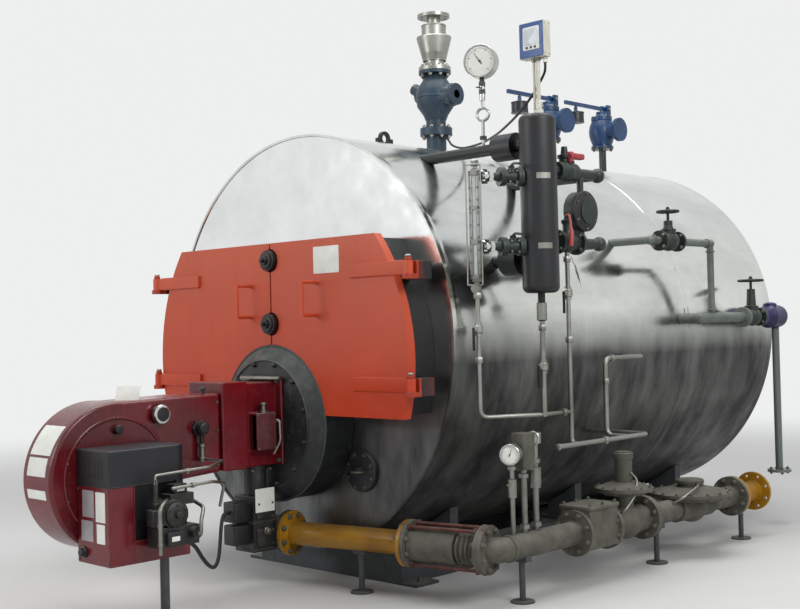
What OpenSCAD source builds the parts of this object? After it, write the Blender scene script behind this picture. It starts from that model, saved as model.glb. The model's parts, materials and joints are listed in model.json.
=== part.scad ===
/* [Shell] */
// Outside radius of the polished cladding
shell_r = 1050; // [950:10:1100]
// Length of the clad shell
shell_l = 3000; // [2800:20:3400]
// Height of the skid rails
rail_h = 140; // [100:5:260]
// Gap between the skid's rails and the shell
rail_gap = 10; // [0:1:30]
// Wall of the clad shell
clad_t = 12; // [6:1:20]
// Thickness of the bright front and rear plates
end_t = 10; // [6:1:16]
// How far the end plates sit inside the cladding
end_inset = 6; // [2:1:12]
// Thickness of the tube plate behind the doors
tube_plate_t = 20; // [16:1:30]

/* [Smokebox and doors] */
// Radius of the outer edge of the doors
door_r = 945; // [900:5:965]
// Height of the centre of that edge below the shell axis
door_drop = 90; // [60:5:110]
// Height of the top of the doors above the shell axis
door_top = 492; // [450:5:500]
// Height of the bottom of the doors below the shell axis
door_bottom = 355; // [340:5:370]
// Thickness of each door
door_t = 45; // [35:1:55]
// Depth of the smokebox in front of the front plate
smokebox_d = 145; // [130:5:170]
// Wall of the smokebox
smokebox_wall = 12; // [8:1:16]
// How far the doors reach past the smokebox
door_lap = 18; // [10:1:24]
// Gap between doors and whatever they close on
door_gap = 5; // [5:0.5:8]
// Distance of the hinge pins outside the doors
hinge_out = 22; // [18:1:40]
// Radius of the hinge pins
pin_r = 12; // [10:0.5:14]
// Height of the hinge straps
strap_h = 60; // [50:2:80]
// Height of the upper hinges above the shell axis
hinge_up = 325; // [300:5:350]
// Height of the lower hinges below the shell axis
hinge_down = 200; // [180:5:220]
// Radius of the clamp knobs on the seam
knob_r = 52; // [44:1:56]

/* [Furnace and burner] */
// Distance of the furnace axis below the shell axis
furnace_drop = 406; // [400:2:420]
// Outside radius of the furnace mouth
furnace_r = 382; // [370:1:386]
// Radius of the burner plate
burner_plate_r = 322; // [290:2:330]
// How far the burner plate stands in front of the doors
burner_plate_out = 50; // [40:2:60]
// Width of the burner casing
burner_w = 232; // [210:2:260]
// Length of the burner head next to the furnace
head_l = 365; // [330:5:390]
// Distance from the burner head to the middle of the fan casing
fan_l = 560; // [540:5:600]
// Radius of the fan casing
fan_r = 325; // [300:5:330]
// Width of the motor cover and the control box
panel_w = 248; // [220:2:270]
// Length of the control box
panel_l = 399; // [380:1:420]

/* [Gas train] */
// Height of the gas pipes above the floor
gas_h = 255; // [245:5:290]
// Outside radius of the gas pipes
gas_r = 57; // [50:1:60]
// Radius of the gas flanges
gas_flange_r = 110; // [105:1:115]
// Bolt circle radius of the gas flanges
gas_bolt_r = 90; // [86:1:92]
// Radius of the bolt holes in the gas flanges
gas_hole_r = 9; // [7:0.5:10]
// Distance of the long gas pipe outside the shell
gas_out = 164; // [140:2:200]
// Turn of the short gas pipe against the front plate
gas_turn = 12; // [8:1:14]

/* [Fittings] */
// Distance of the level chamber outside the shell
chamber_out = 200; // [180:5:260]
// Distance of the level chamber behind the front of the shell
chamber_y = 390; // [340:5:440]
// Radius of the level chamber with its insulation
chamber_r = 86; // [76:1:92]
// Height of the level chamber
chamber_h = 825; // [800:5:900]
// Height of the bottom of the level chamber above the shell axis
chamber_up = 200; // [150:5:230]
// Distance of the feed pipes outside the shell
feed_out = 120; // [110:5:160]
// Outside radius of the feed pipes
feed_r = 21; // [19:0.5:24]

/* [Hidden] */
axis_h = rail_h + rail_gap + shell_r;
$fn = 48;
fit = 0.3;
running = 0.05;
front_y = -shell_l / 2;
rear_y = shell_l / 2;
plate_y = front_y + end_inset;
end_r = shell_r - clad_t - fit;
furnace_z = axis_h - furnace_drop;
door_cz = axis_h - door_drop;
door_zt = axis_h + door_top;
door_zb = axis_h - door_bottom;
smokebox_y = plate_y - smokebox_d;
hinge_x = door_r + hinge_out;
door_back = smokebox_y - door_gap;
door_front = door_back - door_t;
box_r = door_r - door_lap;
notch_r = furnace_r + 2 * door_gap;
strap_t = 16;
strap_l = 385;
hinge_y = door_front - 10;
knuckle_r = pin_r + 10;
hinge_z = [axis_h - hinge_down, axis_h + hinge_up];
knob_z = [axis_h + 89, axis_h + 405];
mullion_w = 50;
burner_y = door_front - burner_plate_out;
head_y = burner_y - head_l;
fan_y = head_y - fan_l;
fan_z = furnace_z - 154;
casing_top = fan_z + fan_r;
head_w = burner_w + 30;
side_x = burner_w / 2;
head_z0 = furnace_z - 190;
head_z1 = furnace_z + 225;
panel_z0 = fan_z - 335;
panel_z1 = fan_z - 10;
cover_z1 = panel_z1 + 150;
panel_y0 = fan_y - 200;
panel_x1 = side_x + panel_w;
leg_x = panel_x1 - 40;
gas_x = shell_r + gas_out;
chamber_x = shell_r + chamber_out;
feed_x = shell_r + feed_out;
leg_y = fan_y + 90;

// Turned shape about the Y axis, from its start to its end
module along_y(x, z, y0, y1, r, r2 = -1) {
    translate([x, y0, z]) rotate([-90, 0, 0])
        cylinder(h = y1 - y0, r1 = r, r2 = r2 < 0 ? r : r2);
}

module along_x(y, z, x0, x1, r, r2 = -1) {
    translate([x0, y, z]) rotate([0, 90, 0])
        cylinder(h = x1 - x0, r1 = r, r2 = r2 < 0 ? r : r2);
}

module along_z(x, y, z0, z1, r, r2 = -1) {
    translate([x, y, z0]) cylinder(h = z1 - z0, r1 = r, r2 = r2 < 0 ? r : r2);
}

module slab(a, b) {
    translate(a) cube(b - a);
}

// Quarter bend from a level pipe that comes in along +X and leaves upward
module bend(bend_r, r, turn = 90) {
    rotate([90, 0, 0]) translate([0, bend_r]) rotate(-90)
        rotate_extrude(angle = turn) translate([bend_r, 0]) circle(r = r);
}

// Flange along +Z with bolt holes
module flange(r, t, bolt_r, hole_r, holes) {
    difference() {
        cylinder(h = t, r = r);
        for (i = [0 : holes - 1]) rotate((i + 0.5) * 360 / holes)
            translate([bolt_r, 0, -1]) cylinder(h = t + 2, r = hole_r);
    }
}

// Shell, ends and what carries them

module shell_cladding() {
    color("silver") difference() {
        along_y(0, axis_h, front_y, rear_y, shell_r, $fn = 128);
        along_y(0, axis_h, front_y - 1, rear_y + 1, shell_r - clad_t, $fn = 128);
    }
}

// Outline of the doors and the smokebox, seen from the front, drawn in by an inset
module door_outline(inset) {
    difference() {
        intersection() {
            translate([0, door_cz]) circle(r = door_r - inset, $fn = 128);
            translate([-shell_r, door_zb + inset]) square([2 * shell_r, door_zt - door_zb - 2 * inset]);
        }
        translate([0, furnace_z]) circle(r = notch_r + inset, $fn = 96);
    }
}

// Raises a front view outline from one depth to another
module raise_front(y0, y1) {
    translate([0, y1, 0]) rotate([90, 0, 0]) linear_extrude(y1 - y0) children();
}

module front_plate() {
    color("gainsboro") difference() {
        along_y(0, axis_h, plate_y, plate_y + end_t, end_r, $fn = 128);
        raise_front(plate_y - 1, plate_y + end_t + 1) door_outline(door_lap + smokebox_wall + 20);
        along_y(0, furnace_z, plate_y - 1, plate_y + end_t + 1, furnace_r - 30, $fn = 96);
    }
}

module rear_plate() {
    color("gainsboro")
        along_y(0, axis_h, rear_y - end_inset - end_t, rear_y - end_inset, end_r, $fn = 128);
}

module tube_plate() {
    color("dimgray")
        raise_front(plate_y + end_t, plate_y + end_t + tube_plate_t) door_outline(door_lap);
}

module smokebox() {
    inner_zt = door_zt - door_lap - smokebox_wall;
    color("black") {
        raise_front(smokebox_y, plate_y) difference() {
            door_outline(door_lap);
            door_outline(door_lap + smokebox_wall);
        }
        slab([-mullion_w / 2, smokebox_y, furnace_z + notch_r + door_lap + 4],
            [mullion_w / 2, smokebox_y + 40, inner_zt + 4]);
    }
}

module furnace_mouth() {
    color("darkslategray") {
        along_y(0, furnace_z, door_front, plate_y, furnace_r, $fn = 96);
        along_y(0, furnace_z, burner_y, door_front, burner_plate_r, furnace_r, $fn = 96);
    }
}

cover_r = 100;
cover_drop = 229;
cover_z = furnace_z - cover_drop;
cover_x = sqrt(pow(furnace_r + cover_r + 10, 2) - pow(cover_drop, 2));
hatch_r = 270;

// Hand hole covers in front and the round cleaning cover behind
module access_covers() {
    color("black") {
        for (side = [-1, 1]) {
            along_y(side * cover_x, cover_z, plate_y - 22, plate_y, cover_r);
            along_y(side * cover_x, cover_z, plate_y - 48, plate_y - 22, 16);
        }
        along_y(0, furnace_z, rear_y - end_inset, rear_y + 30, hatch_r, $fn = 64);
        slab([-110, rear_y + 30, furnace_z - 12], [110, rear_y + 60, furnace_z + 12]);
    }
}

rail_x = 480;
rail_w = 110;
rail_l = 0.9 * shell_l;
saddle_w = 60;
saddle_x = rail_x + 140;
saddle_top = axis_h - sqrt(pow(shell_r, 2) - pow(saddle_x, 2)) + 40;

foot_w = 100;
foot_l = 160;
foot_t = 15;
foot_hole_r = 11;
foot_x = rail_x + rail_w / 2 + foot_w / 2;
foot_y = rail_l / 2 - foot_l / 2;

// Two beams with drilled plates that bolt to the floor
module skid_rails() {
    color("darkslategray") for (side = [-1, 1]) {
        slab([side * rail_x - rail_w / 2, -rail_l / 2, 0],
            [side * rail_x + rail_w / 2, rail_l / 2, rail_h]);
        for (y = [-foot_y, foot_y]) difference() {
            translate([side * foot_x - foot_w / 2 - 1, y - foot_l / 2, 0])
                cube([foot_w + 2, foot_l, foot_t]);
            along_z(side * foot_x, y, -1, foot_t + 1, foot_hole_r);
        }
    }
}

member_w = 110;

module cross_members() {
    inner = rail_x - rail_w / 2;
    color("darkslategray")
        for (y = [-rail_l / 2, -member_w / 2, rail_l / 2 - member_w])
            slab([-inner, y, 0], [inner, y + member_w, rail_h]);
}

// Curved plates that carry the shell on the rails
module shell_saddles() {
    color("darkslategray") for (y = [-0.35, 0, 0.35] * shell_l) difference() {
        slab([-saddle_x, y - saddle_w / 2, rail_h], [saddle_x, y + saddle_w / 2, saddle_top]);
        along_y(0, axis_h, y - saddle_w, y + saddle_w, shell_r + fit, $fn = 128);
        slab([-rail_x + rail_w / 2, y - saddle_w, rail_h - 1],
            [rail_x - rail_w / 2, y + saddle_w, axis_h]);
    }
}

lug_t = 20;
lug_h = 85;
lug_y = [-857, 857];

module lifting_lugs() {
    color("black") for (y = lug_y) difference() {
        union() {
            slab([-lug_t / 2, y - 60, axis_h + shell_r - 5],
                [lug_t / 2, y + 60, axis_h + shell_r + lug_h - 40]);
            along_x(y, axis_h + shell_r + lug_h - 40, -lug_t / 2, lug_t / 2, 40);
        }
        along_x(y, axis_h + shell_r + lug_h - 40, -lug_t, lug_t, 22);
        along_y(0, axis_h, y - 100, y + 100, shell_r + fit, $fn = 128);
    }
}

flue_z = axis_h + 520;
flue_r = 170;
flue_flange_r = 220;
flue_bolt_r = 195;
flue_l = 210;
flue_end = rear_y + flue_l;

module flue_outlet() {
    color("dimgray") difference() {
        union() {
            along_y(0, flue_z, rear_y - end_inset, flue_end, flue_r, $fn = 64);
            translate([0, flue_end - 14, flue_z]) rotate([-90, 0, 0])
                flange(flue_flange_r, 14, flue_bolt_r, 8, 8);
        }
        along_y(0, flue_z, rear_y - end_inset + 8, flue_end + 1, flue_r - 6, $fn = 64);
    }
}

// Doors, hinges and clamps

// One leaf as it hangs on the right, with straps, knuckles and lifting handle
module door_leaf(handle_x) {
    seam = door_gap;
    difference() {
        raise_front(door_front, door_back) difference() {
            intersection() {
                door_outline(0);
                translate([seam, 0]) square([shell_r, 2 * axis_h]);
            }
            for (z = knob_z) translate([0, z]) circle(r = knob_r + door_gap + 1);
        }
    }
    for (z = hinge_z) difference() {
        union() {
            slab([hinge_x - strap_l, door_front - strap_t, z - strap_h / 2],
                [hinge_x, door_front, z + strap_h / 2]);
            along_z(hinge_x, hinge_y, z - strap_h / 2, z + strap_h / 2, knuckle_r);
        }
        along_z(hinge_x, hinge_y, z - strap_h, z + strap_h, pin_r + running);
    }
    door_handle(handle_x);
}

handle_r = 9;
handle_out = 95;
handle_h = 158;
handle_z = axis_h + 205;

// Round bar bent into a loop, ends welded to the door
module door_handle(x) {
    for (s = [-1, 1])
        along_y(x, handle_z + s * handle_h / 2, door_front - handle_out, door_front, handle_r);
    along_z(x, door_front - handle_out, handle_z - handle_h / 2 - handle_r,
        handle_z + handle_h / 2 + handle_r, handle_r);
}

module door_right() {
    color("orangered") door_leaf(345);
}

module door_left() {
    color("orangered") mirror([1, 0, 0]) door_leaf(150);
}

lug_drop = 22;
pin_gap = 0.5;

// Fixed bracket with its pin, on the right
module hinge_bracket(z) {
    arm_x = hinge_x - knuckle_r;
    z0 = z - strap_h / 2 - pin_gap;
    difference() {
        union() {
            along_z(hinge_x, hinge_y, z0 - lug_drop, z0, knuckle_r + 8);
            slab([arm_x, hinge_y, z0 - lug_drop], [hinge_x + knuckle_r, smokebox_y + 70, z0]);
            slab([arm_x, hinge_y + knuckle_r + 10, z0 - lug_drop],
                [hinge_x + knuckle_r, smokebox_y + 70, z + strap_h / 2]);
            slab([500, smokebox_y + 8, z0 - lug_drop],
                [hinge_x + knuckle_r, smokebox_y + 70, z + strap_h / 2]);
            along_z(hinge_x, hinge_y, z0, z + strap_h / 2 + 20, pin_r);
            along_z(hinge_x, hinge_y, z + strap_h / 2 + pin_gap, z + strap_h / 2 + 14, pin_r + 5);
        }
        along_y(0, door_cz, hinge_y - 100, plate_y, box_r + fit, $fn = 128);
    }
}

module hinge_brackets() {
    color("orangered") for (side = [0, 1], z = hinge_z)
        mirror([side, 0, 0]) hinge_bracket(z);
}

module door_clamps() {
    color("black") for (z = knob_z) {
        along_y(0, z, door_front - 8, smokebox_y, 12);
        along_y(0, z, door_front - 26, door_front + 14, knob_r);
        translate([0, door_front - 48, z]) rotate([-90, 0, 0]) cylinder(h = 23, r = 24, $fn = 6);
    }
}

// Burner

box_l = 150;
servo_z = [furnace_z - 110, furnace_z + 70];

// Air box, narrower neck, mounting flange and the servo motor on its side
module burner_head() {
    color("firebrick") {
        slab([-head_w / 2, head_y, head_z0], [head_w / 2, head_y + box_l, head_z1]);
        slab([-head_w / 2 + 35, head_y + box_l, head_z0], [head_w / 2 - 35, burner_y - 16, head_z1 - 12]);
        slab([-head_w / 2 - 10, burner_y - 16, head_z0], [head_w / 2 + 10, burner_y, head_z1 + 12]);
        slab([head_w / 2 - 36, head_y + box_l + 35, servo_z[0]],
            [head_w / 2 + 24, head_y + box_l + 155, servo_z[1]]);
    }
}

// Fan casing with its duct, drawn as one round and one side outline with y to the right
module burner_fan_casing() {
    color("firebrick") {
        along_x(fan_y, fan_z, -side_x, side_x, fan_r, $fn = 96);
        translate([-side_x, 0, 0]) rotate([90, 0, 90]) linear_extrude(burner_w)
            polygon([[fan_y - 1, fan_z + fan_r - 3], [head_y, casing_top + 6], [head_y, head_z0],
                [fan_y + 250, head_z0 - 20], [fan_y, fan_z]]);
    }
}

module burner_motor_cover() {
    y1 = panel_y0 + panel_l;
    color([0.12, 0.12, 0.13]) {
        slab([side_x, panel_y0, panel_z1], [panel_x1, y1 - 70, cover_z1]);
        slab([side_x, y1 - 70, panel_z1 - 30], [panel_x1 - 70, y1, cover_z1]);
        intersection() {
            along_z(panel_x1 - 70, y1 - 70, panel_z1 - 30, cover_z1, 70);
            slab([panel_x1 - 70, y1 - 70, panel_z1 - 30], [panel_x1, y1, cover_z1]);
        }
        slab([side_x, panel_y0 + 120, panel_z0 + 95], [panel_x1 - 25, y1 - 70, panel_z1]);
    }
}

// Steel control box, deep in front and shallow under the motor
module burner_control_box() {
    color("firebrick") {
        slab([side_x, panel_y0, panel_z0], [panel_x1, panel_y0 + 120, panel_z1]);
        slab([side_x, panel_y0 + 120, panel_z0], [panel_x1, panel_y0 + panel_l, panel_z0 + 95]);
    }
}

sight_y = fan_y + 214;
sight_z = fan_z + 257;
sensor_y = fan_y + 430;
sensor_z = fan_z + 178;

module burner_sensors() {
    color("black") {
        along_x(sight_y, sight_z, side_x, side_x + 38, 40);
        along_x(sensor_y, sensor_z, side_x, side_x + 46, 30);
        along_x(fan_y - 4, fan_z + 205, side_x, side_x + 14, 16);
        along_z(side_x + 28, sensor_y, fan_z + 30, sensor_z, 11);
    }
}

pump_x = panel_x1 - 25;
pump_y = panel_y0 + 300;
pump_z = fan_z - 140;

// Oil pump and its valves on the side of the motor cover
module burner_pump() {
    color([0.2, 0.2, 0.2]) {
        along_x(pump_y - 40, pump_z, pump_x, pump_x + 120, 62);
        slab([pump_x + 40, pump_y - 130, pump_z - 130], [pump_x + 128, pump_y + 70, pump_z - 50]);
        slab([pump_x + 30, pump_y - 52, pump_z + 35], [pump_x + 100, pump_y + 66, pump_z + 82]);
        along_x(pump_y + 38, pump_z - 80, pump_x + 127, pump_x + 165, 24);
        along_z(pump_x + 84, pump_y - 115, pump_z - 51, pump_z + 150, 11);
    }
}

// Gas train

corner = [gas_x, front_y + 80];
run = [cos(gas_turn), sin(gas_turn)];
pipe_l = 700;
joint_l = 400;
bend_leg = 60;
flange_t = 20;
start = corner - (pipe_l + joint_l + bend_leg) * run;

// Puts a piece on the short gas pipe, drawn along +Z, at a distance from its start
module on_front_pipe(s) {
    translate([start[0] + s * run[0], start[1] + s * run[1], gas_h])
        rotate([0, 90, gas_turn]) children();
}

module gas_flange() {
    cylinder(h = flange_t, r = gas_flange_r);
}

// Gas flange across the long pipe, from a given place towards the rear
module side_flange(y) {
    translate([corner[0], y, gas_h]) rotate([-90, 0, 0]) gas_flange();
}

// Bellows between two flanges, held by tie rods
module gas_flexible_joint() {
    waves = 9;
    body_l = joint_l - 2 * flange_t;
    color("tan") {
        on_front_pipe(pipe_l) gas_flange();
        on_front_pipe(pipe_l + flange_t - 1) cylinder(h = body_l + 2, r = gas_r + 4);
        for (i = [1 : waves]) on_front_pipe(pipe_l + flange_t + i * body_l / (waves + 1) - 8)
            cylinder(h = 16, r = gas_r + 16);
        on_front_pipe(pipe_l + joint_l - flange_t) gas_flange();
        for (a = [-35, 145]) on_front_pipe(pipe_l + flange_t - 1) rotate(a)
            translate([gas_flange_r - 14, 0, 0]) cylinder(h = body_l + 2, r = 11);
    }
}

side_y = corner[1] + bend_leg;
filter_y = -730;
filter_l = 230;
governor_y = -430;
regulator_y = 200;
supply_y = 640;
supply_l = 260;

// Bend from the flexible joint into the long pipe beside the shell
module gas_pipe_side() {
    turn = 90 - gas_turn;
    r_mid = bend_leg / tan(turn / 2);
    color("tan") {
        on_front_pipe(pipe_l + joint_l) gas_flange();
        translate([corner[0] - bend_leg * run[0], corner[1] - bend_leg * run[1], gas_h]) rotate(gas_turn)
            translate([0, r_mid, 0]) rotate(-90)
                rotate_extrude(angle = turn) translate([r_mid, 0]) circle(r = gas_r);
        along_y(corner[0], gas_h, side_y - 8, side_y + 8, gas_r + 4);
        along_y(corner[0], gas_h, side_y + 1, filter_y - filter_l / 2 - flange_t, gas_r);
    }
}

module gas_filter() {
    color("tan") {
        side_flange(filter_y - filter_l / 2 - flange_t);
        side_flange(filter_y + filter_l / 2);
        slab([corner[0] - 85, filter_y - filter_l / 2, gas_h - 75],
            [corner[0] + 85, filter_y + filter_l / 2, gas_h + 110]);
    }
}

// Globe body on the long pipe with a flat diaphragm case above it
module governor(y, body_l, case_r, case_z, tower_h) {
    along_y(corner[0], gas_h, y - body_l / 2, y + body_l / 2, gas_r + 12);
    translate([corner[0], y, gas_h]) sphere(r = gas_r + 30);
    along_z(corner[0], y, gas_h, case_z - 18, 46);
    along_z(corner[0], y, case_z - 28, case_z - 8, case_r - 40, case_r);
    along_z(corner[0], y, case_z - 8, case_z + 8, case_r);
    along_z(corner[0], y, case_z + 8, case_z + 34, case_r - 12, case_r * 0.45);
    along_z(corner[0], y, case_z + 33, case_z + tower_h, case_r * 0.3);
}

governor_y0 = filter_y + filter_l / 2 + flange_t;
governor_y1 = 2 * governor_y - governor_y0;

module gas_governor() {
    color("tan") {
        governor(governor_y, governor_y1 - governor_y0, 145, gas_h + 165, 185);
        side_flange(governor_y1 - flange_t);
    }
}

module gas_regulator() {
    color("tan") {
        along_y(corner[0], gas_h, governor_y1, supply_y - flange_t + 1, gas_r);
        side_flange(governor_y1);
        governor(regulator_y, 330, 220, gas_h + 70, 75);
        side_flange(supply_y - flange_t);
    }
}

// Yellow pipes at the burner and at the supply end, the last flange drilled
module gas_pipes() {
    color("gold") {
        on_front_pipe(0) gas_flange();
        on_front_pipe(flange_t - 1) cylinder(h = pipe_l - 2 * flange_t + 2, r = gas_r);
        on_front_pipe(pipe_l - flange_t) gas_flange();
        side_flange(supply_y);
        along_y(corner[0], gas_h, supply_y + flange_t - 1,
            supply_y + supply_l - flange_t + 1, gas_r);
        translate([corner[0], supply_y + supply_l - flange_t, gas_h]) rotate([-90, 0, 0])
            flange(gas_flange_r, flange_t, gas_bolt_r, gas_hole_r, 8);
    }
}

riser_y = [side_y + 45, side_y + 130, side_y + 215];
riser_r = 11;

// Gauge, pressure switch and cock on risers from the long gas pipe
module gas_gauges() {
    z0 = gas_h + gas_r - 3;
    color("silver") difference() {
        union() {
            along_z(corner[0], riser_y[0], z0, z0 + 330, riser_r);
            along_z(corner[0], riser_y[0], z0 + 170, z0 + 250, 20);
            translate([corner[0], riser_y[0], z0 + 365]) rotate([90, 0, 22])
                translate([0, 0, -22]) cylinder(h = 44, r = 47);
            along_z(corner[0], riser_y[1], z0, z0 + 290, riser_r + 3);
            slab([corner[0] - 34, riser_y[1] - 40, z0 + 288],
                [corner[0] + 34, riser_y[1] + 40, z0 + 450]);
            along_z(corner[0], riser_y[2], z0, z0 + 440, riser_r + 3);
            along_z(corner[0], riser_y[2], z0 + 210, z0 + 290, 26);
            along_z(corner[0], riser_y[2], z0 + 400, z0 + 450, 30);
            along_y(corner[0], z0 + 395, riser_y[1] + 39, riser_y[2], 10);
        }
        along_y(corner[0], gas_h, riser_y[0] - 100, riser_y[2] + 100, gas_r + fit);
    }
}

stand_r = 14;
front_stand = start + 420 * run;
side_stands = [side_y + 100, governor_y1 + 120, supply_y + 100];

// Post with a floor plate and a cradle, under a pipe
module stand(x, y) {
    along_z(x, y, 8, gas_h - gas_r + 5, stand_r);
    along_z(x, y, 0, 8, 55);
    slab([x - 40, y - 20, gas_h - gas_r - 14], [x + 40, y + 20, gas_h - 30]);
}

// Feet under the gas pipes and the burner
module floor_stands() {
    color("gray") {
        difference() {
            stand(front_stand[0], front_stand[1]);
            on_front_pipe(0) cylinder(h = pipe_l, r = gas_r + fit);
        }
        for (y = side_stands) difference() {
            stand(corner[0], y);
            along_y(corner[0], gas_h, y - 100, y + 100, gas_r + fit);
        }
        along_z(leg_x, leg_y, 10, panel_z0, 20);
        along_z(leg_x, leg_y, 0, 10, 60);
    }
}

block_w = 140;
face_gap = 0.1;
block_x = start[0] - 80 * run[0];
block_y = burner_y - block_w / 2 - 8;

// Elbow and double valve block that feed the burner head from below
module gas_valve_block() {
    neck_y = start[1] - 80 * run[1];
    color([0.16, 0.17, 0.17]) {
        on_front_pipe(-flange_t - face_gap) gas_flange();
        on_front_pipe(-80) cylinder(h = 80 - face_gap, r = gas_r - 4);
        slab([block_x - block_w / 2, block_y - block_w / 2, gas_h - block_w / 2],
            [block_x + block_w / 2, neck_y + gas_r - 5, gas_h + block_w / 2]);
        slab([block_x - block_w / 2, block_y - block_w / 2, gas_h + block_w / 2],
            [block_x + block_w / 2, block_y + block_w / 2, gas_h + 200]);
        along_z(block_x, block_y, gas_h + 200, head_z0 - 20, gas_r);
        along_z(block_x, block_y, head_z0 - 20, head_z0, gas_r + 10);
        for (z = [gas_h + 20, gas_h + 130])
            slab([block_x - 45, block_y - block_w / 2 - 90, z - 45],
                [block_x + 45, block_y - block_w / 2, z + 45]);
    }
}

// Fittings beside the shell

chamber_yy = front_y + chamber_y;
chamber_z = axis_h + chamber_up;
cock_z = [chamber_z + 215, chamber_z + 535];
sight_place = [chamber_x - 150, chamber_yy - 278];
cock_turn = atan2(sight_place[1] - chamber_yy, sight_place[0] - chamber_x);
cock_l = norm(sight_place - [chamber_x, chamber_yy]);

module level_chamber() {
    soft = 30;
    color([0.13, 0.14, 0.15]) translate([chamber_x, chamber_yy, chamber_z]) rotate_extrude() {
        square([chamber_r - soft, chamber_h]);
        translate([0, soft]) square([chamber_r, chamber_h - 2 * soft]);
        for (z = [soft, chamber_h - soft]) translate([chamber_r - soft, z]) circle(r = soft);
        translate([0, -40]) square([17, 41]);
    }
}

sight_w = 34;
sight_z0 = chamber_z + 15;
sight_z1 = chamber_z + 610;

module sight_glass() {
    color("silver") translate([sight_place[0], sight_place[1], 0]) {
        rotate(cock_turn + 90) {
            slab([-sight_w / 2, -16, sight_z0 + 40], [sight_w / 2, 16, sight_z1 - 40]);
            slab([-sight_w / 2 - 6, -8, sight_z0 + 70], [sight_w / 2 + 6, 8, sight_z1 - 70]);
        }
        along_z(0, 0, sight_z0, sight_z1, 12);
        along_z(0, 0, sight_z0, sight_z0 + 20, 20);
        along_z(0, 0, sight_z1 - 20, sight_z1, 20);
    }
}

// Puts a piece beside the chamber, drawn along +Z, pointing at the sight glass
module on_cock(z) {
    translate([chamber_x, chamber_yy, z]) rotate([0, 90, cock_turn]) children();
}

module level_cocks() {
    color([0.2, 0.26, 0.24]) for (z = cock_z) difference() {
        on_cock(z) {
            translate([0, 0, chamber_r - 6]) cylinder(h = cock_l - chamber_r, r = 15);
            for (s = [chamber_r + 12, chamber_r + 84]) translate([0, 0, s]) cylinder(h = 14, r = 43);
            translate([0, 0, chamber_r + 20]) cylinder(h = 70, r = 29);
            translate([0, 0, cock_l - 70]) cylinder(h = 44, r = 23);
            translate([0, 0, cock_l - 48]) rotate([0, 90, 0])
                translate([0, 0, -32]) cylinder(h = 64, r = 14);
        }
        along_z(chamber_x, chamber_yy, z - 60, z + 60, chamber_r + fit);
        translate([sight_place[0], sight_place[1], 0]) rotate(cock_turn + 90)
            slab([-sight_w, -16 - fit, z - 60], [sight_w, 16 + fit, z + 60]);
    }
}

branch_z = axis_h + 895;
branch_r = 28;
water_z = chamber_z + 158;

// Level pipe from the shell to the chamber, with its thick insulated stretch
module level_branch(z, x0, bulge0, bulge1, bulge_r) {
    difference() {
        union() {
            along_x(chamber_yy, z, x0, chamber_x, branch_r);
            along_x(chamber_yy, z, bulge0, bulge1, bulge_r);
        }
        along_y(0, axis_h, chamber_yy - 200, chamber_yy + 200, shell_r + fit, $fn = 128);
        along_z(chamber_x, chamber_yy, z - 90, z + 90, chamber_r + fit);
    }
}

module level_branches() {
    color([0.13, 0.14, 0.15]) {
        level_branch(branch_z, shell_r / 2 - 40, chamber_x - 240, chamber_x - 120, 64);
        level_branch(water_z, shell_r - 200, chamber_x - 200, chamber_x - 100, 72);
    }
}

valve_line = [chamber_z + 240, chamber_z + 575];
valve_y = chamber_yy + 205;
turn_y = chamber_yy + 470;
switch_z = chamber_z + 392;

// Valves on the far side of the chamber, with their pipes back to the shell
module level_valves() {
    color([0.2, 0.26, 0.24]) difference() {
        union() {
            for (z = valve_line) {
                along_y(chamber_x, z, chamber_yy, turn_y, 24);
                along_x(turn_y, z, shell_r * 0.6, chamber_x, 24);
                translate([chamber_x, turn_y, z]) sphere(r = 36);
            }
            for (s = [-1, 1]) along_y(chamber_x, valve_line[0], valve_y + s * 78 - 9,
                valve_y + s * 78 + 9, 58);
            along_y(chamber_x, valve_line[0], valve_y - 70, valve_y + 70, 40);
            along_z(chamber_x, valve_y, valve_line[0], valve_line[0] + 90, 18);
            along_y(chamber_x, valve_line[1], valve_y - 70, valve_y + 70, 44);
            along_z(chamber_x, valve_y + 120, valve_line[0], valve_line[1], 16);
            along_x(valve_y + 120, switch_z, chamber_x - 50, chamber_x + 50, 62);
            along_x(valve_y + 120, switch_z, chamber_x - 32, chamber_x + 32, 96);
        }
        along_y(0, axis_h, chamber_yy, chamber_yy + 600, shell_r + fit, $fn = 128);
        along_z(chamber_x, chamber_yy, chamber_z, chamber_z + chamber_h, chamber_r + fit);
    }
}

gauge_x = chamber_x - 325;
gauge_z = branch_z + 430;
gauge_r = 80;
gauge_turn = 22;

// Round gauge on a looped pipe above the steam branch
module pressure_gauge() {
    color("gainsboro") difference() {
        union() {
            along_z(gauge_x, chamber_yy, branch_z, branch_z + 151, 8);
            translate([gauge_x, chamber_yy, branch_z + 177]) rotate([90, 0, gauge_turn])
                rotate_extrude() translate([30, 0]) circle(r = 7.5);
            along_z(gauge_x, chamber_yy, branch_z + 203, gauge_z - gauge_r + 4, 8);
            along_z(gauge_x, chamber_yy, branch_z + 245, gauge_z - gauge_r - 20, 14);
            translate([gauge_x, chamber_yy, gauge_z]) rotate([90, 0, gauge_turn])
                translate([0, 0, -25]) cylinder(h = 50, r = gauge_r);
        }
        along_x(chamber_yy, branch_z, gauge_x - 100, gauge_x + 100, branch_r + fit);
    }
}

display_z = chamber_z + chamber_h + 262;

module level_display() {
    color("royalblue") {
        for (x = [-9, 14]) along_z(chamber_x + x, chamber_yy, chamber_z + chamber_h,
            display_z + 2, x < 0 ? 6 : 10);
        slab([chamber_x - 70, chamber_yy - 26, display_z],
            [chamber_x + 70, chamber_yy + 26, display_z + 165]);
    }
}

drain_z = axis_h - 360;
drain_r = 10;
drain_end = -330;

header_x = chamber_x + 50;
header_z = drain_z - 150;
tap_y = [-150, -500];
tap_z = axis_h - 125;

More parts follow.
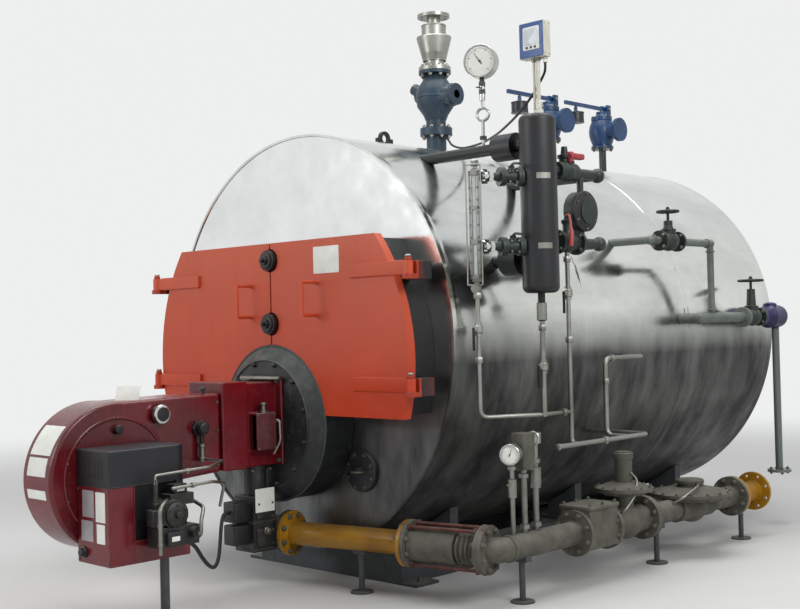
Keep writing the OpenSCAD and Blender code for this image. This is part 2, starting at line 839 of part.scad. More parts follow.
// Drains of the sight glass, chamber, valves and shell, joined in one header beside the shell
module drain_pipes() {
    color("silver") difference() {
        union() {
            along_z(sight_place[0], sight_place[1], drain_z - 10, sight_z0, drain_r);
            along_z(chamber_x, chamber_yy, drain_z - drain_r, chamber_z - 40, drain_r + 2);
            along_z(chamber_x, chamber_yy, chamber_z - 130, chamber_z - 40, 24);
            translate([0, 0, drain_z]) level_pipe(sight_place, [chamber_x, chamber_yy], drain_r);
            along_y(chamber_x, drain_z, chamber_yy, valve_y, drain_r);
            along_z(chamber_x, valve_y, header_z, valve_line[0] - 40, drain_r + 1);
            along_x(valve_y, header_z, chamber_x - drain_r, header_x, drain_r + 1);
            along_y(header_x, header_z, chamber_yy + 40, drain_end + 12, drain_r + 2);
            along_x(drain_end, header_z, shell_r * 0.7, header_x, drain_r + 2);
            along_x(tap_y[0], tap_z, shell_r * 0.9, feed_x, drain_r + 3);
            along_y(feed_x, tap_z, tap_y[1], tap_y[0] + drain_r, drain_r + 2);
            along_z(feed_x, tap_y[1], header_z, tap_z + drain_r, drain_r + 2.5);
            along_x(tap_y[1], header_z, feed_x - drain_r, header_x, drain_r + 1);
        }
        along_y(0, axis_h, drain_end - 300, tap_y[0] + 200, shell_r + fit, $fn = 128);
    }
}

// Level round pipe between two points in plan
module level_pipe(a, b, r) {
    d = b - a;
    translate([a[0], a[1], 0]) rotate([0, 90, atan2(d[1], d[0])]) cylinder(h = norm(d), r = r);
}

// Valves on the crown

crown = axis_h + shell_r;
valve_place = -430;
steam_r = 57;
steam_flange_r = 92.5;
steam_bolt_r = 72.5;
steam_hole_r = 9;
outlet_z = crown + 475;
outlet_top = crown + 800;

module steam_valve() {
    color([0.12, 0.25, 0.28]) difference() {
        union() {
            along_z(0, valve_place, crown - 20, crown + 120, steam_r);
            along_z(0, valve_place, crown + 100, crown + 144, steam_flange_r);
            along_z(0, valve_place, crown + 140, crown + 460, steam_r);
            translate([0, valve_place, crown + 320]) sphere(r = 108);
            along_x(valve_place, crown + 320, 60, 165, 62);
            translate([0, valve_place, crown + 300]) rotate([0, -60, 0])
                cylinder(h = 190, r = 34);
            along_z(0, valve_place, crown + 455, outlet_z, steam_flange_r);
        }
        along_y(0, axis_h, valve_place - 200, valve_place + 200, shell_r + fit, $fn = 128);
    }
}

// Flange, reducer and clad pipe above the steam valve, its top flange drilled
module steam_outlet() {
    color("silver") translate([0, valve_place, 0]) {
        along_z(0, 0, outlet_z, outlet_z + 20, steam_flange_r);
        along_z(0, 0, outlet_z + 19, outlet_z + 60, steam_r);
        along_z(0, 0, outlet_z + 55, outlet_z + 190, 66, 100);
        along_z(0, 0, outlet_z + 189, outlet_top - 60, 70);
        along_z(0, 0, outlet_top - 65, outlet_top - 17, 38);
        translate([0, 0, outlet_top - 18])
            flange(steam_flange_r, 18, steam_bolt_r, steam_hole_r, 8);
    }
}

safety_y = [640, 1230];
neck_h = 180;
fulcrum_z = crown + neck_h + 262;
fulcrum_y = 48;
arm_t = 12;
arm_w = 8;
lever_reach = 410;
weight_reach = 293;
lever_pin_r = 8;

// Body of a weight loaded safety valve with its outlet and the yoke of the lever
module safety_body(y) {
    base = crown + neck_h;
    difference() {
        translate([0, y, 0]) {
            along_z(0, 0, crown - 20, base, 24);
            along_z(0, 0, base - 14, base + 8, 74);
            along_z(0, 0, base, base + 200, 56);
            translate([0, 0, base + 100]) sphere(r = 80);
            along_x(0, base + 105, 40, 150, 50);
            along_x(0, base + 105, 128, 150, 78);
            along_z(0, 0, base + 180, base + 206, 70);
            along_z(0, 0, base + 200, base + 238, 36);
            for (s = [-1, 1])
                slab([s * 22 - 8, fulcrum_y - 20, base + 200],
                    [s * 22 + 8, fulcrum_y + 20, fulcrum_z + 26]);
            along_x(fulcrum_y, fulcrum_z, -30, 30, lever_pin_r);
            along_z(0, 0, base + 200, fulcrum_z - arm_t - 0.5, 9);
        }
        along_y(0, axis_h, y - 200, y + 200, shell_r + fit, $fn = 128);
    }
}

// Lever with its hanging weight, lying on the spindle of its valve
module safety_arm(y) {
    translate([0, y, 0]) {
        difference() {
            union() {
                slab([-arm_w, -lever_reach, fulcrum_z - arm_t],
                    [arm_w, fulcrum_y, fulcrum_z + arm_t]);
                along_x(fulcrum_y, fulcrum_z, -arm_w, arm_w, 20);
            }
            along_x(fulcrum_y, fulcrum_z, -20, 20, lever_pin_r + running);
        }
        along_z(0, -weight_reach, fulcrum_z - 60, fulcrum_z - arm_t, 7);
        along_z(0, -weight_reach, fulcrum_z - 125, fulcrum_z - 55, 52);
    }
}

module safety_valves() {
    color("royalblue") for (y = safety_y) safety_body(y);
}

module safety_lever_front() {
    color("royalblue") safety_arm(safety_y[0]);
}

module safety_lever_rear() {
    color("royalblue") safety_arm(safety_y[1]);
}

// Feedwater pipes and valves

upper_z = axis_h + 485;
lower_z = axis_h + 65;
upper_y = 125;
down_y = 560;
lower_y = 1019;
check_y = 1235;

// Flanged globe valve body in a pipe along Y, with a bonnet and a bore for the spindle
module globe_valve(y, z, size, bonnet_h, spindle_r) {
    difference() {
        union() {
            for (s = [-1, 1]) along_y(feed_x, z, y + s * size - 8, y + s * size + 8, size * 0.62);
            along_y(feed_x, z, y - size, y + size, feed_r + 9);
            translate([feed_x, y, z]) sphere(r = size * 0.52);
            along_z(feed_x, y, z, z + bonnet_h, 24);
            along_z(feed_x, y, z + size * 0.45, z + size * 0.45 + 16, 40);
            along_z(feed_x, y, z + bonnet_h - 20, z + bonnet_h, 17);
        }
        along_z(feed_x, y, z + bonnet_h - 50, z + bonnet_h + 1, spindle_r + running);
    }
}

module handwheel(y, z, bonnet_h, spindle_r, wheel_r) {
    top = z + bonnet_h + 50;
    along_z(feed_x, y, z + bonnet_h - 45, top + 8, spindle_r);
    along_z(feed_x, y, top - 8, top + 10, 15);
    translate([feed_x, y, top]) rotate_extrude() translate([wheel_r - 7, 0]) circle(r = 7);
    for (a = [0 : 90 : 270]) translate([feed_x, y, top]) rotate([0, 90, a])
        cylinder(h = wheel_r - 7, r = 5);
}

valve_size = 88;
bonnet = [110, 165];
spindle = 8;
wheel_upper = 62;
wheel_lower = 76;

module feed_valves() {
    color([0.15, 0.2, 0.2]) {
        globe_valve(upper_y, upper_z, valve_size, bonnet[0], spindle);
        globe_valve(lower_y, lower_z, valve_size, bonnet[1], spindle);
    }
}

module handwheel_upper() {
    color("black") handwheel(upper_y, upper_z, bonnet[0], spindle, wheel_upper);
}

module handwheel_lower() {
    color("black") handwheel(lower_y, lower_z, bonnet[1], spindle, wheel_lower);
}

// Nozzle from the shell to the line of the feed pipes
module nozzle(y, z, r) {
    difference() {
        along_x(y, z, shell_r * 0.7, feed_x, r);
        along_y(0, axis_h, y - 200, y + 200, shell_r + fit, $fn = 128);
    }
}

// Feed pipes between the shell and the valves
module feed_pipes() {
    upper0 = upper_y - valve_size - 8;
    upper1 = upper_y + valve_size + 8;
    lower0 = lower_y - valve_size - 8;
    color("gray") {
        nozzle(upper0 - 90, upper_z, feed_r);
        translate([feed_x, upper0 - 90, upper_z]) sphere(r = feed_r + 4);
        along_y(feed_x, upper_z, upper0 - 90, upper0, feed_r);
        along_y(feed_x, upper_z, upper1, down_y, feed_r);
        along_y(feed_x, upper_z, upper1, upper1 + 16, valve_size * 0.5);
        translate([feed_x, down_y, upper_z]) sphere(r = feed_r + 4);
        along_z(feed_x, down_y, lower_z, upper_z, feed_r - 2);
        nozzle(down_y - 130, lower_z, feed_r + 8);
        translate([feed_x, down_y - 130, lower_z]) sphere(r = feed_r + 14);
        along_y(feed_x, lower_z, down_y - 130, lower0, feed_r + 8);
        along_y(feed_x, lower_z, lower0 - 22, lower0, valve_size * 0.66);
    }
}

inlet_z = axis_h - 880;
inlet_bolt_r = 50;
inlet_hole_r = 9;

module check_valve() {
    y0 = lower_y + valve_size + 8;
    end_y = check_y + 110;
    color("mediumblue") {
        along_y(feed_x, lower_z, y0, y0 + 20, valve_size * 0.6);
        along_y(feed_x, lower_z, y0 + 19, check_y, feed_r + 9);
        along_y(feed_x, lower_z, check_y - 1, end_y, 66);
        along_z(feed_x, end_y - 35, inlet_z + 15, lower_z, feed_r + 1);
        translate([feed_x, end_y - 35, inlet_z]) flange(70, 16, inlet_bolt_r, inlet_hole_r, 4);
    }
}

display_cable_r = 6;
display_exit = [chamber_x + 46, chamber_yy + 14, display_z];
display_drop = [[0, 0, 0], [0, 0, -25], [-16, 16, -63], [-56, 30, -103], [-119, 50, -154]];
neck_entry = [steam_r - 0.9, valve_place - 11.9, crown + 80];

// Where the lead lies over the shell: angle from the top, lift, share of the way to the steam valve
over_shell = [[44.5, 455, 0.174], [39.7, 287, 0.340], [34.7, 181, 0.466], [29.0, 105, 0.584],
    [18.3, 32, 0.768], [10.1, 33, 0.893], [6.7, 63, 0.941], [4.8, 80, 0.970]];
display_cable = concat([for (p = display_drop) display_exit + p],
    [for (p = over_shell) [(shell_r + p[1]) * sin(p[0]), chamber_yy + p[2] * (valve_place - chamber_yy),
        axis_h + (shell_r + p[1]) * cos(p[0])]],
    [neck_entry + [20, -4.2, 0], neck_entry]);

burner_cable_r = 9;
box_exit = [panel_x1 - 64, panel_y0 + panel_l, panel_z0 + 45];
coil_entry = [block_x - 2, block_y - block_w / 2 - 90, gas_h + 130];

// Share of the way across, share along, and sag of the burner's lead
burner_sag = [[0, 0, 0], [0, 0.059, 2.1], [0.044, 0.166, 43.8], [0.137, 0.289, 112.1], [0.281, 0.428, 165],
    [0.468, 0.572, 188], [0.671, 0.707, 170.7], [0.858, 0.818, 116.6], [0.961, 0.883, 50.9],
    [1, 0.928, 8.5], [1, 0.965, -1.2], [1, 1, 0]];
burner_cable = [for (p = burner_sag) [box_exit[0] + p[0] * (coil_entry[0] - box_exit[0]),
    box_exit[1] + p[1] * (coil_entry[1] - box_exit[1]),
    box_exit[2] + p[1] * (coil_entry[2] - box_exit[2]) - p[2]]];
cable_sides = 12;

function unit(v) = v / norm(v);
function heading(p, i) = unit(p[min(i + 1, len(p) - 1)] - p[max(i - 1, 0)]);
function cable_ring(p, i, side, r) =
    let (t = heading(p, i), u = unit(cross(t, side)), v = cross(t, u))
    [for (k = [0 : cable_sides - 1]) let (a = k * 360 / cable_sides) p[i] + r * (cos(a) * u + sin(a) * v)];

// Round lead along a row of points, with a level direction that it never follows
module cable(points, r, side) {
    n = len(points);
    rings = [for (i = [0 : n - 1], c = cable_ring(points, i, side, r)) c];
    walls = [for (i = [0 : n - 2], k = [0 : cable_sides - 1])
        let (a = i * cable_sides, m = (k + 1) % cable_sides)
        [a + k, a + m, a + cable_sides + m, a + cable_sides + k]];
    first = [for (k = [cable_sides - 1 : -1 : 0]) k];
    last = [for (k = [0 : cable_sides - 1]) (n - 1) * cable_sides + k];
    polyhedron(rings, concat([first], walls, [last]));
}

// Leads that hang between two fixed pieces of the boiler
module cables() {
    color([0.05, 0.05, 0.05]) {
        cable(display_cable, display_cable_r, [0.49, 0.87, 0]);
        cable(burner_cable, burner_cable_r, [0.81, 0.59, 0]);
    }
}

shell_cladding();
front_plate();
rear_plate();
tube_plate();
smokebox();
door_left();
door_right();
hinge_brackets();
door_clamps();
furnace_mouth();
access_covers();
skid_rails();
cross_members();
shell_saddles();
lifting_lugs();
flue_outlet();
burner_head();
burner_fan_casing();
burner_motor_cover();
burner_control_box();
burner_sensors();
burner_pump();
gas_valve_block();
gas_pipes();
gas_flexible_joint();
gas_pipe_side();
gas_filter();
gas_governor();
gas_regulator();
gas_gauges();
floor_stands();
level_chamber();
sight_glass();
level_cocks();
level_branches();
level_valves();
pressure_gauge();
level_display();
drain_pipes();
steam_valve();
steam_outlet();
safety_valves();
safety_lever_front();
safety_lever_rear();
feed_pipes();
feed_valves();
handwheel_upper();
handwheel_lower();
check_valve();
cables();
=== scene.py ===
import json
import math

import bmesh
import bpy
import numpy as np
from mathutils import Matrix, Vector

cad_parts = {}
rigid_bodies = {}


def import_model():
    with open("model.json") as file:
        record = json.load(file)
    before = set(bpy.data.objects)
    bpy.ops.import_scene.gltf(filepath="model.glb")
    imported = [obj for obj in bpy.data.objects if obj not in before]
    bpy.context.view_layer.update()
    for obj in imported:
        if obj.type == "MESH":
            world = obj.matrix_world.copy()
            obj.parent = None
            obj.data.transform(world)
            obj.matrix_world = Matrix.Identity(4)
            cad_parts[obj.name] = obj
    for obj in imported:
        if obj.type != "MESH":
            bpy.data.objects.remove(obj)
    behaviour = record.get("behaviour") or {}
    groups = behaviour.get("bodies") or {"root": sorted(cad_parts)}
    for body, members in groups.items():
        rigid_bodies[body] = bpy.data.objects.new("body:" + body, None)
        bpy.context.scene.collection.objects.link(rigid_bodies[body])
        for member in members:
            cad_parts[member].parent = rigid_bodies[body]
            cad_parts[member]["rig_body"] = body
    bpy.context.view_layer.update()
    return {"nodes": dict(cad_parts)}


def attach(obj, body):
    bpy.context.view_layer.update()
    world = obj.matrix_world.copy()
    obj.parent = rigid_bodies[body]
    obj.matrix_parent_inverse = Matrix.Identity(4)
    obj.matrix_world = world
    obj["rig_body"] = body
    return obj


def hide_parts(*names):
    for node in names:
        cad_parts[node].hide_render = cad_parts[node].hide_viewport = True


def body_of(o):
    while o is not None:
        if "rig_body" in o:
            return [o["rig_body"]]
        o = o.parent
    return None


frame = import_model()
nodes = frame["nodes"]
print("frame loaded")


# Colour and node helpers

def linear(hexColour):
    values = [int(hexColour[i:i + 2], 16) / 255 for i in (1, 3, 5)]
    values = [v / 12.92 if v <= 0.04045 else ((v + 0.055) / 1.055) ** 2.4 for v in values]
    return (*values, 1.0)


def addNode(tree, kind, sockets=None, out=0, **settings):
    # a socket takes another node's output, a hex colour or a plain value
    node = tree.nodes.new(kind)
    for name, value in settings.items():
        setattr(node, name, value)
    for name, value in (sockets or {}).items():
        if isinstance(value, bpy.types.NodeSocket):
            tree.links.new(value, node.inputs[name])
        else:
            node.inputs[name].default_value = linear(value) if isinstance(value, str) else value
    return node.outputs[out]


# Materials

looks = {}


def newMaterial(name):
    material = bpy.data.materials.new(name)
    material.use_nodes = True
    looks[name] = material
    tree = material.node_tree
    return tree, tree.nodes["Principled BSDF"], addNode(tree, "ShaderNodeTexCoord", out="Object")


def mottling(tree, place, rows):
    # noise patterns: patch size in mm, stretch, detail, and the part of the noise that becomes 0 to 1
    level = {}
    for key, (size, stretch, detail, low, high) in rows.items():
        placed = addNode(tree, "ShaderNodeMapping", {"Vector": place, "Scale": stretch})
        noise = addNode(tree, "ShaderNodeTexNoise", {"Vector": placed, "Scale": 1000 / size, "Detail": detail,
                                                     "Roughness": 0.6})
        level[key] = addNode(tree, "ShaderNodeMapRange", {"Value": noise, "From Min": low, "From Max": high})
    return level


def coatedMetal(name, paint, shade, dust, dustLevel, gloss=(0.3, 0.5), chips="#5a4a3e", chipLevel=0.74,
                toneSize=350, streaks=0.35, bump=0.25, metallic=0.0, grain=14, beyond=()):
    # a painted or cast surface: cloudy tone, streaks running down, dust lying on top, worn spots
    # beyond gives other paints: axis, where it starts and is full in metres, colour, strength
    tree, shader, place = newMaterial(name)
    even = (1, 1, 1)
    level = mottling(tree, place, {
        "cloud": (toneSize, even, 5, 0.35, 0.7), "run": (60, (1, 1, 0.12), 5, 0.5, 0.75),
        "lying": (90, even, 5, 0.25, 0.65), "film": (45, even, 5, 0.5, 0.8),
        "rough": (120, even, 5, 0.3, 0.7), "spots": (26, even, 8, chipLevel, chipLevel + 0.03),
        "grain": (grain, even, 3, 0, 1)})
    colour = addNode(tree, "ShaderNodeMix", {0: level["cloud"], 6: paint, 7: shade}, 2, data_type="RGBA")
    for axis, start, full, other, strength in beyond:
        along = addNode(tree, "ShaderNodeSeparateXYZ", {"Vector": place}, axis)
        share = addNode(tree, "ShaderNodeMapRange", {"Value": along, "From Min": start, "From Max": full,
                                                     "To Max": strength})
        colour = addNode(tree, "ShaderNodeMix", {0: share, 6: colour, 7: other}, 2, data_type="RGBA")
    streak = addNode(tree, "ShaderNodeMath", {0: level["run"], 1: streaks}, operation="MULTIPLY")
    colour = addNode(tree, "ShaderNodeMix", {0: streak, 6: colour, 7: shade}, 2, data_type="RGBA")
    normal = addNode(tree, "ShaderNodeNewGeometry", out="Normal")
    up = addNode(tree, "ShaderNodeMapRange", {
        "Value": addNode(tree, "ShaderNodeSeparateXYZ", {"Vector": normal}, "Z"),
        "From Min": 0.1, "From Max": 0.95, "To Max": dustLevel})
    lying = addNode(tree, "ShaderNodeMath", {0: up, 1: level["lying"]}, operation="MULTIPLY")
    film = addNode(tree, "ShaderNodeMath", {0: level["film"], 1: 0.22 * dustLevel}, operation="MULTIPLY")
    dusty = addNode(tree, "ShaderNodeMath", {0: lying, 1: film}, operation="MAXIMUM")
    colour = addNode(tree, "ShaderNodeMix", {0: dusty, 6: colour, 7: dust}, 2, data_type="RGBA")
    colour = addNode(tree, "ShaderNodeMix", {0: level["spots"], 6: colour, 7: chips}, 2, data_type="RGBA")
    glossy = addNode(tree, "ShaderNodeMapRange", {"Value": level["rough"], "To Min": gloss[0],
                                                  "To Max": gloss[1]})
    matt = addNode(tree, "ShaderNodeMath", {0: dusty, 1: 0.9}, operation="MULTIPLY")
    relief = addNode(tree, "ShaderNodeBump", {"Height": level["grain"], "Strength": bump, "Distance": 0.002})
    shader.inputs["Metallic"].default_value = metallic
    tree.links.new(colour, shader.inputs["Base Color"])
    tree.links.new(addNode(tree, "ShaderNodeMath", {0: glossy, 1: matt}, operation="MAXIMUM"),
                   shader.inputs["Roughness"])
    tree.links.new(relief, shader.inputs["Normal"])
    return shader


def brightMetal(name, metal, dull, gloss, waveSize, waveHeight, dirt="#45413a", grimeAndShadeLevel=0.5, low=0.15,
                high=1.7):
    # a bare metal surface: slow waves in the sheet (size and height in mm), cloudy tone, and grime and
    # painted shade that is full below one height in metres and gone above another; on the cladding and end
    # sheets it is painted dark reflection
    tree, shader, place = newMaterial(name)
    level = mottling(tree, place, {
        "cloud": (260, (1, 0.4, 1), 5, 0.35, 0.7), "dirt": (170, (1, 1, 0.3), 5, 0.3, 0.65),
        "rough": (140, (1, 1, 1), 5, 0.3, 0.7), "waves": (waveSize, (1, 0.7, 0.7), 1.5, 0, 1),
        "scuffs": (30, (0.2, 1, 1), 6, 0, 1)})
    colour = addNode(tree, "ShaderNodeMix", {0: level["cloud"], 6: metal, 7: dull}, 2, data_type="RGBA")
    # darker below a given height: on the cladding and end sheets this is a painted dark reflection of the
    # floor
    height = addNode(tree, "ShaderNodeSeparateXYZ", {"Vector": place}, "Z")
    lower = addNode(tree, "ShaderNodeMapRange", {"Value": height, "From Min": low, "From Max": high,
                                                 "To Min": grimeAndShadeLevel, "To Max": 0.04})
    patchy = addNode(tree, "ShaderNodeMath", {0: level["dirt"], 1: 0.22, 2: 0.78}, operation="MULTIPLY_ADD")
    near = addNode(tree, "ShaderNodeMath", {0: lower, 1: patchy}, operation="MULTIPLY")
    colour = addNode(tree, "ShaderNodeMix", {0: near, 6: colour, 7: dirt}, 2, data_type="RGBA")
    glossy = addNode(tree, "ShaderNodeMapRange", {"Value": level["rough"], "To Min": gloss[0],
                                                  "To Max": gloss[1]})
    duller = addNode(tree, "ShaderNodeMath", {0: near, 1: 0.35, 2: glossy}, operation="MULTIPLY_ADD")
    relief = addNode(tree, "ShaderNodeBump", {"Height": level["waves"], "Strength": 1.0,
                                              "Distance": waveHeight / 1000})
    finer = addNode(tree, "ShaderNodeBump", {"Height": level["scuffs"], "Normal": relief, "Strength": 0.15,
                                             "Distance": 0.0004})
    shader.inputs["Metallic"].default_value = 1.0
    tree.links.new(colour, shader.inputs["Base Color"])
    tree.links.new(duller, shader.inputs["Roughness"])
    tree.links.new(finer, shader.inputs["Normal"])


# rolled aluminium cladding: soft wavy mirror, with painted dark reflection and shade below its middle
brightMetal("bright_cladding", "#e6e8e4", "#cbcec8", (0.1, 0.22), 420, 5.0, "#2a2b2b", 0.97, 1.08, 1.33)
# polished flat end sheet: a clearer mirror than the shell, with broad dents, and painted dark reflection low
# down
brightMetal("bright_plate", "#f6f7f6", "#e6e9e7", (0.08, 0.2), 520, 6.0, "#27292b", 0.93, 0.75, 1.3)
# brushed stainless fittings: grey, half glossy, stained
brightMetal("steel_fitting", "#a9aaa4", "#7b7a72", (0.28, 0.45), 60, 0.3, grimeAndShadeLevel=0.35)
# chromed fittings: small hard highlights
brightMetal("chrome_trim", "#d9dad8", "#bdbebb", (0.08, 0.18), 80, 0.2, grimeAndShadeLevel=0.15)
# zinc plated bolts: dull grey with a warm cast
brightMetal("zinc_bolts", "#8f8d84", "#6a675d", (0.35, 0.55), 20, 0.1, grimeAndShadeLevel=0.5)
# bright gauge case: spun stainless ring
brightMetal("gauge_case", "#c2c4c1", "#9b9c98", (0.18, 0.3), 60, 0.1, grimeAndShadeLevel=0.1)

# orange enamel: flat red orange, paler towards the top, brown smudges
coatedMetal("orange_enamel", "#c83f17", "#b43511", "#a8684f", 0.2, (0.34, 0.5), "#86402d", 0.75, 500,
            0.22, 0.12, beyond=[(2, 0.95, 1.65, "#cf684a", 0.5)])
# the same enamel on hinge parts, rubbed and sooty, on brackets that are black behind
coatedMetal("hinge_enamel", "#bd3b18", "#933018", "#8a6a5a", 0.35, (0.4, 0.6), "#4a2a20", 0.66, 120,
            0.4, 0.3, beyond=[(1, -1.657, -1.652, "#17181a", 1.0)])
# satin black heat-resisting paint: nearly black, cool grey where dust lies
coatedMetal("black_steel", "#0c0d0f", "#08090a", "#454340", 0.35, (0.35, 0.6), "#33302c", 0.72)
# black paint over the furnace mouth: sooty with pale splashes of insulation dust
coatedMetal("dusty_black_steel", "#1e2123", "#131516", "#788078", 0.85, (0.35, 0.6), "#8f928a", 0.69,
            140, 0.4, 0.5)
# soot on the tube plate: matt grey-black with rusty clouds
coatedMetal("sooty_steel", "#2a2724", "#171514", "#5a4a3e", 0.4, (0.75, 0.95), "#5c3a26", 0.68, 90,
            0.4, 0.6)
# grey machine paint on the skid and stands: flat, dusty, scraped
coatedMetal("grey_paint", "#43474a", "#33373a", "#7f7a70", 0.85, (0.5, 0.7), "#7a5a41", 0.71)
# crimson gloss enamel of the burner: deep red, wet highlights, pale dust on top
coatedMetal("burner_red", "#700f1c", "#520912", "#8c6f69", 0.42, (0.14, 0.32), "#b9a39c", 0.77, 240,
            0.25, 0.12)
# black moulded plastic: blue-grey sheen, fine spark-eroded grain
coatedMetal("burner_black", "#1a1c21", "#131519", "#55565a", 0.25, (0.38, 0.5), "#3a3b3e", 0.78, 160,
            0.15, 0.35, grain=4)
# dark die-cast alloy: grey-brown under oily dust
coatedMetal("dark_alloy", "#323331", "#212223", "#726f65", 0.8, (0.35, 0.6), "#85847d", 0.73, 70, 0.5,
            0.6, 0.3)
# yellow gas pipe paint: brushed on, semi-gloss, dirty at flanges
coatedMetal("yellow_paint", "#ab7a10", "#885c0a", "#776c50", 0.45, (0.25, 0.42), "#5d4a1c", 0.71, 160,
            0.35, 0.25)
# cream paint under thick floury dust: almost matt, warm grey
coatedMetal("dusty_cream", "#5f5d53", "#434038", "#7b786e", 0.75, (0.5, 0.8), "#403b30", 0.67, 80,
            0.55, 0.6)
# blue-black jacket over the level pipes: smooth, slightly sheened
coatedMetal("black_insulation", "#111317", "#0b0c0f", "#484b50", 0.3, (0.4, 0.55), "#3a3d42", 0.78,
            200, 0.3, 0.15)
# sand cast iron under dark green paint: pebbly, rubbed grey on edges
coatedMetal("green_cast", "#26332f", "#181e1c", "#6f746d", 0.55, (0.35, 0.6), "#7d807b", 0.7, 70, 0.4,
            0.9, 0.2)
# sand cast steel under blue-green paint
coatedMetal("teal_cast", "#20394a", "#17283a", "#6f787b", 0.55, (0.35, 0.55), "#57402f", 0.72, 90, 0.4,
            0.9)
# blue enamel of the safety valves over a cast body, on dark steel necks
coatedMetal("blue_enamel", "#123c68", "#0d2e52", "#557089", 0.22, (0.25, 0.42), "#c9ced3", 0.78, 120,
            0.2, 0.6, beyond=[(2, 2.432, 2.426, "#24282b", 1.0)])
# the same enamel on the levers, whose hanging weights are black
coatedMetal("lever_enamel", "#1a426e", "#133358", "#637a8f", 0.3, (0.25, 0.42), "#c9ced3", 0.78, 120,
            0.2, 0.6, beyond=[(2, 2.646, 2.642, "#15161a", 1.0)])
# violet-blue enamel of the check valve, with the grey water pipe below it
coatedMetal("violet_enamel", "#15154e", "#10103c", "#4a4c6c", 0.25, (0.25, 0.45), "#5a5a86", 0.75, 120,
            0.3, 0.5, beyond=[(2, 1.192, 1.186, "#666e67", 1.0)])
# black rubber sheath: soft broad sheen
coatedMetal("black_rubber", "#17171a", "#0f0f11", "#5a5856", 0.4, (0.5, 0.65), "#2a2a2c", 0.78, 120,
            0.2, 0.1)
# grey-green painted water pipe: chalky, rust at the joints
coatedMetal("grey_pipe", "#666e67", "#4f564f", "#8f9187", 0.6, (0.4, 0.6), "#6b4630", 0.7, 110, 0.45,
            0.3)
# rusted tie rods: dark red-brown primer with rust bloom
coatedMetal("rust_primer", "#5d2a26", "#40201c", "#8d7a6e", 0.5, (0.6, 0.8), "#7d4a30", 0.62, 60, 0.4,
            0.6)
# dulled red primer on the burner's servo motor, under dust
coatedMetal("dull_red", "#5c2026", "#3c151a", "#857b74", 0.75, (0.4, 0.6), "#8f867e", 0.68, 50, 0.5,
            0.4)
# red dipped lever grip
coatedMetal("red_grip", "#b5434a", "#8f2a30", "#b98f8c", 0.3, (0.35, 0.5), "#6a2a2c", 0.76, 60, 0.2,
            0.2)
# blank film, white: bare coated sheet, slightly soiled
coatedMetal("blank_film", "#f1f2ec", "#e2e3dc", "#b5b2a8", 0.2, (0.3, 0.45), "#9a958a", 0.77, 60, 0.25,
            0.05)
# blank film, silver grey
coatedMetal("grey_film", "#a19c9d", "#8b8788", "#8e8a80", 0.3, (0.35, 0.5), "#77736c", 0.77, 60, 0.25,
            0.05)
# off-white moulded plastic of the display's housing: smooth, a little yellowed
coatedMetal("cream_plastic", "#d9d6c9", "#c8c4b5", "#b0ab9c", 0.35, (0.3, 0.45), "#9b9689", 0.78, 90,
            0.25, 0.08)
# slate blue moulded frame round the display
coatedMetal("frame_blue", "#3d5f9a", "#304e84", "#8b97ab", 0.3, (0.3, 0.45), "#7f8fa8", 0.78, 80, 0.2,
            0.08)
# printed black of pointers and ticks
coatedMetal("dial_black", "#161616", "#101010", "#3a3a3a", 0.1, (0.45, 0.6), "#2a2a2a", 0.78, 60, 0.1,
            0.02)
# gauge dial: matt white card under clear glass, and pale liquid crystal window under its cover
for name, card, shade in (("dial_card", "#eeeee8", "#e0e0d9"), ("display_window", "#d3dade", "#c3ccd0")):
    face = coatedMetal(name, card, shade, "#c9c8be", 0.1, (0.5, 0.6), shade, 0.8, 60, 0.1, 0.02)
    face.inputs["Coat Weight"].default_value = 0.6
    face.inputs["Coat Roughness"].default_value = 0.06

print("materials made")


# Directions, and shape helpers; a shape is its points in mm, its four-sided faces and its end faces

origin, upward, downward = (0, 0, 0), (0, 0, 1), (0, 0, -1)
rightward, leftward, rearward, forward = (1, 0, 0), (-1, 0, 0), (0, 1, 0), (0, -1, 0)


def gridFaces(rows, cols, closeRows=False, closeCols=True):
    r, c = np.meshgrid(np.arange(rows if closeRows else rows - 1),
                       np.arange(cols if closeCols else cols - 1), indexing="ij")
    r2, c2 = (r + 1) % rows, (c + 1) % cols
    return np.stack([r * cols + c, r * cols + c2, r2 * cols + c2, r2 * cols + c], -1).reshape(-1, 4)


def axesOf(direction):
    # two directions across a given one; the first is level where there is a choice
    w = np.array(direction, float)
    w /= np.linalg.norm(w)
    u = np.cross(upward if abs(w[2]) < 0.9 else rearward, w)
    u /= np.linalg.norm(u)
    return u, np.cross(w, u), w


def merge(shapes):
    points, quads, caps, start = [], [], [], 0
    for p, q, c in shapes:
        points.append(p)
        quads.append(q + start)
        caps += [cap + start for cap in c]
        start += len(p)
    return np.concatenate(points), np.concatenate(quads), caps


def moved(shape, by):
    points, quads, caps = shape
    return points + by, quads, caps


def turned(shape, angle, about=origin, axis=upward):
    # the shape turned by an angle in degrees round an axis through a point
    turn = np.array(Matrix.Rotation(math.radians(angle), 3, Vector(axis)))
    points, quads, caps = shape
    return (points - about) @ turn.T + about, quads, caps


def lathe(place, direction, profile, sides=48, closed=False):
    # place + s along the axis + r (cos a, sin a) across it, for each (s, r) of the profile
    u, v, w = axesOf(direction)
    s, r = np.array(profile, float).T
    a = np.linspace(0, 2 * np.pi, sides, endpoint=False)
    ring = np.cos(a)[:, None] * u + np.sin(a)[:, None] * v
    points = np.array(place, float) + s[:, None, None] * w + r[:, None, None] * ring
    ends = [] if closed else [np.arange(sides)[::-1], (len(s) - 1) * sides + np.arange(sides)]
    return points.reshape(-1, 3), gridFaces(len(s), sides, closed), ends


def torus(place, direction, ringR, wireR, sides=48, around=8):
    t = np.linspace(0, 2 * np.pi, around, endpoint=False)
    return lathe(place, direction, np.stack([wireR * np.sin(t), ringR + wireR * np.cos(t)], 1), sides, True)


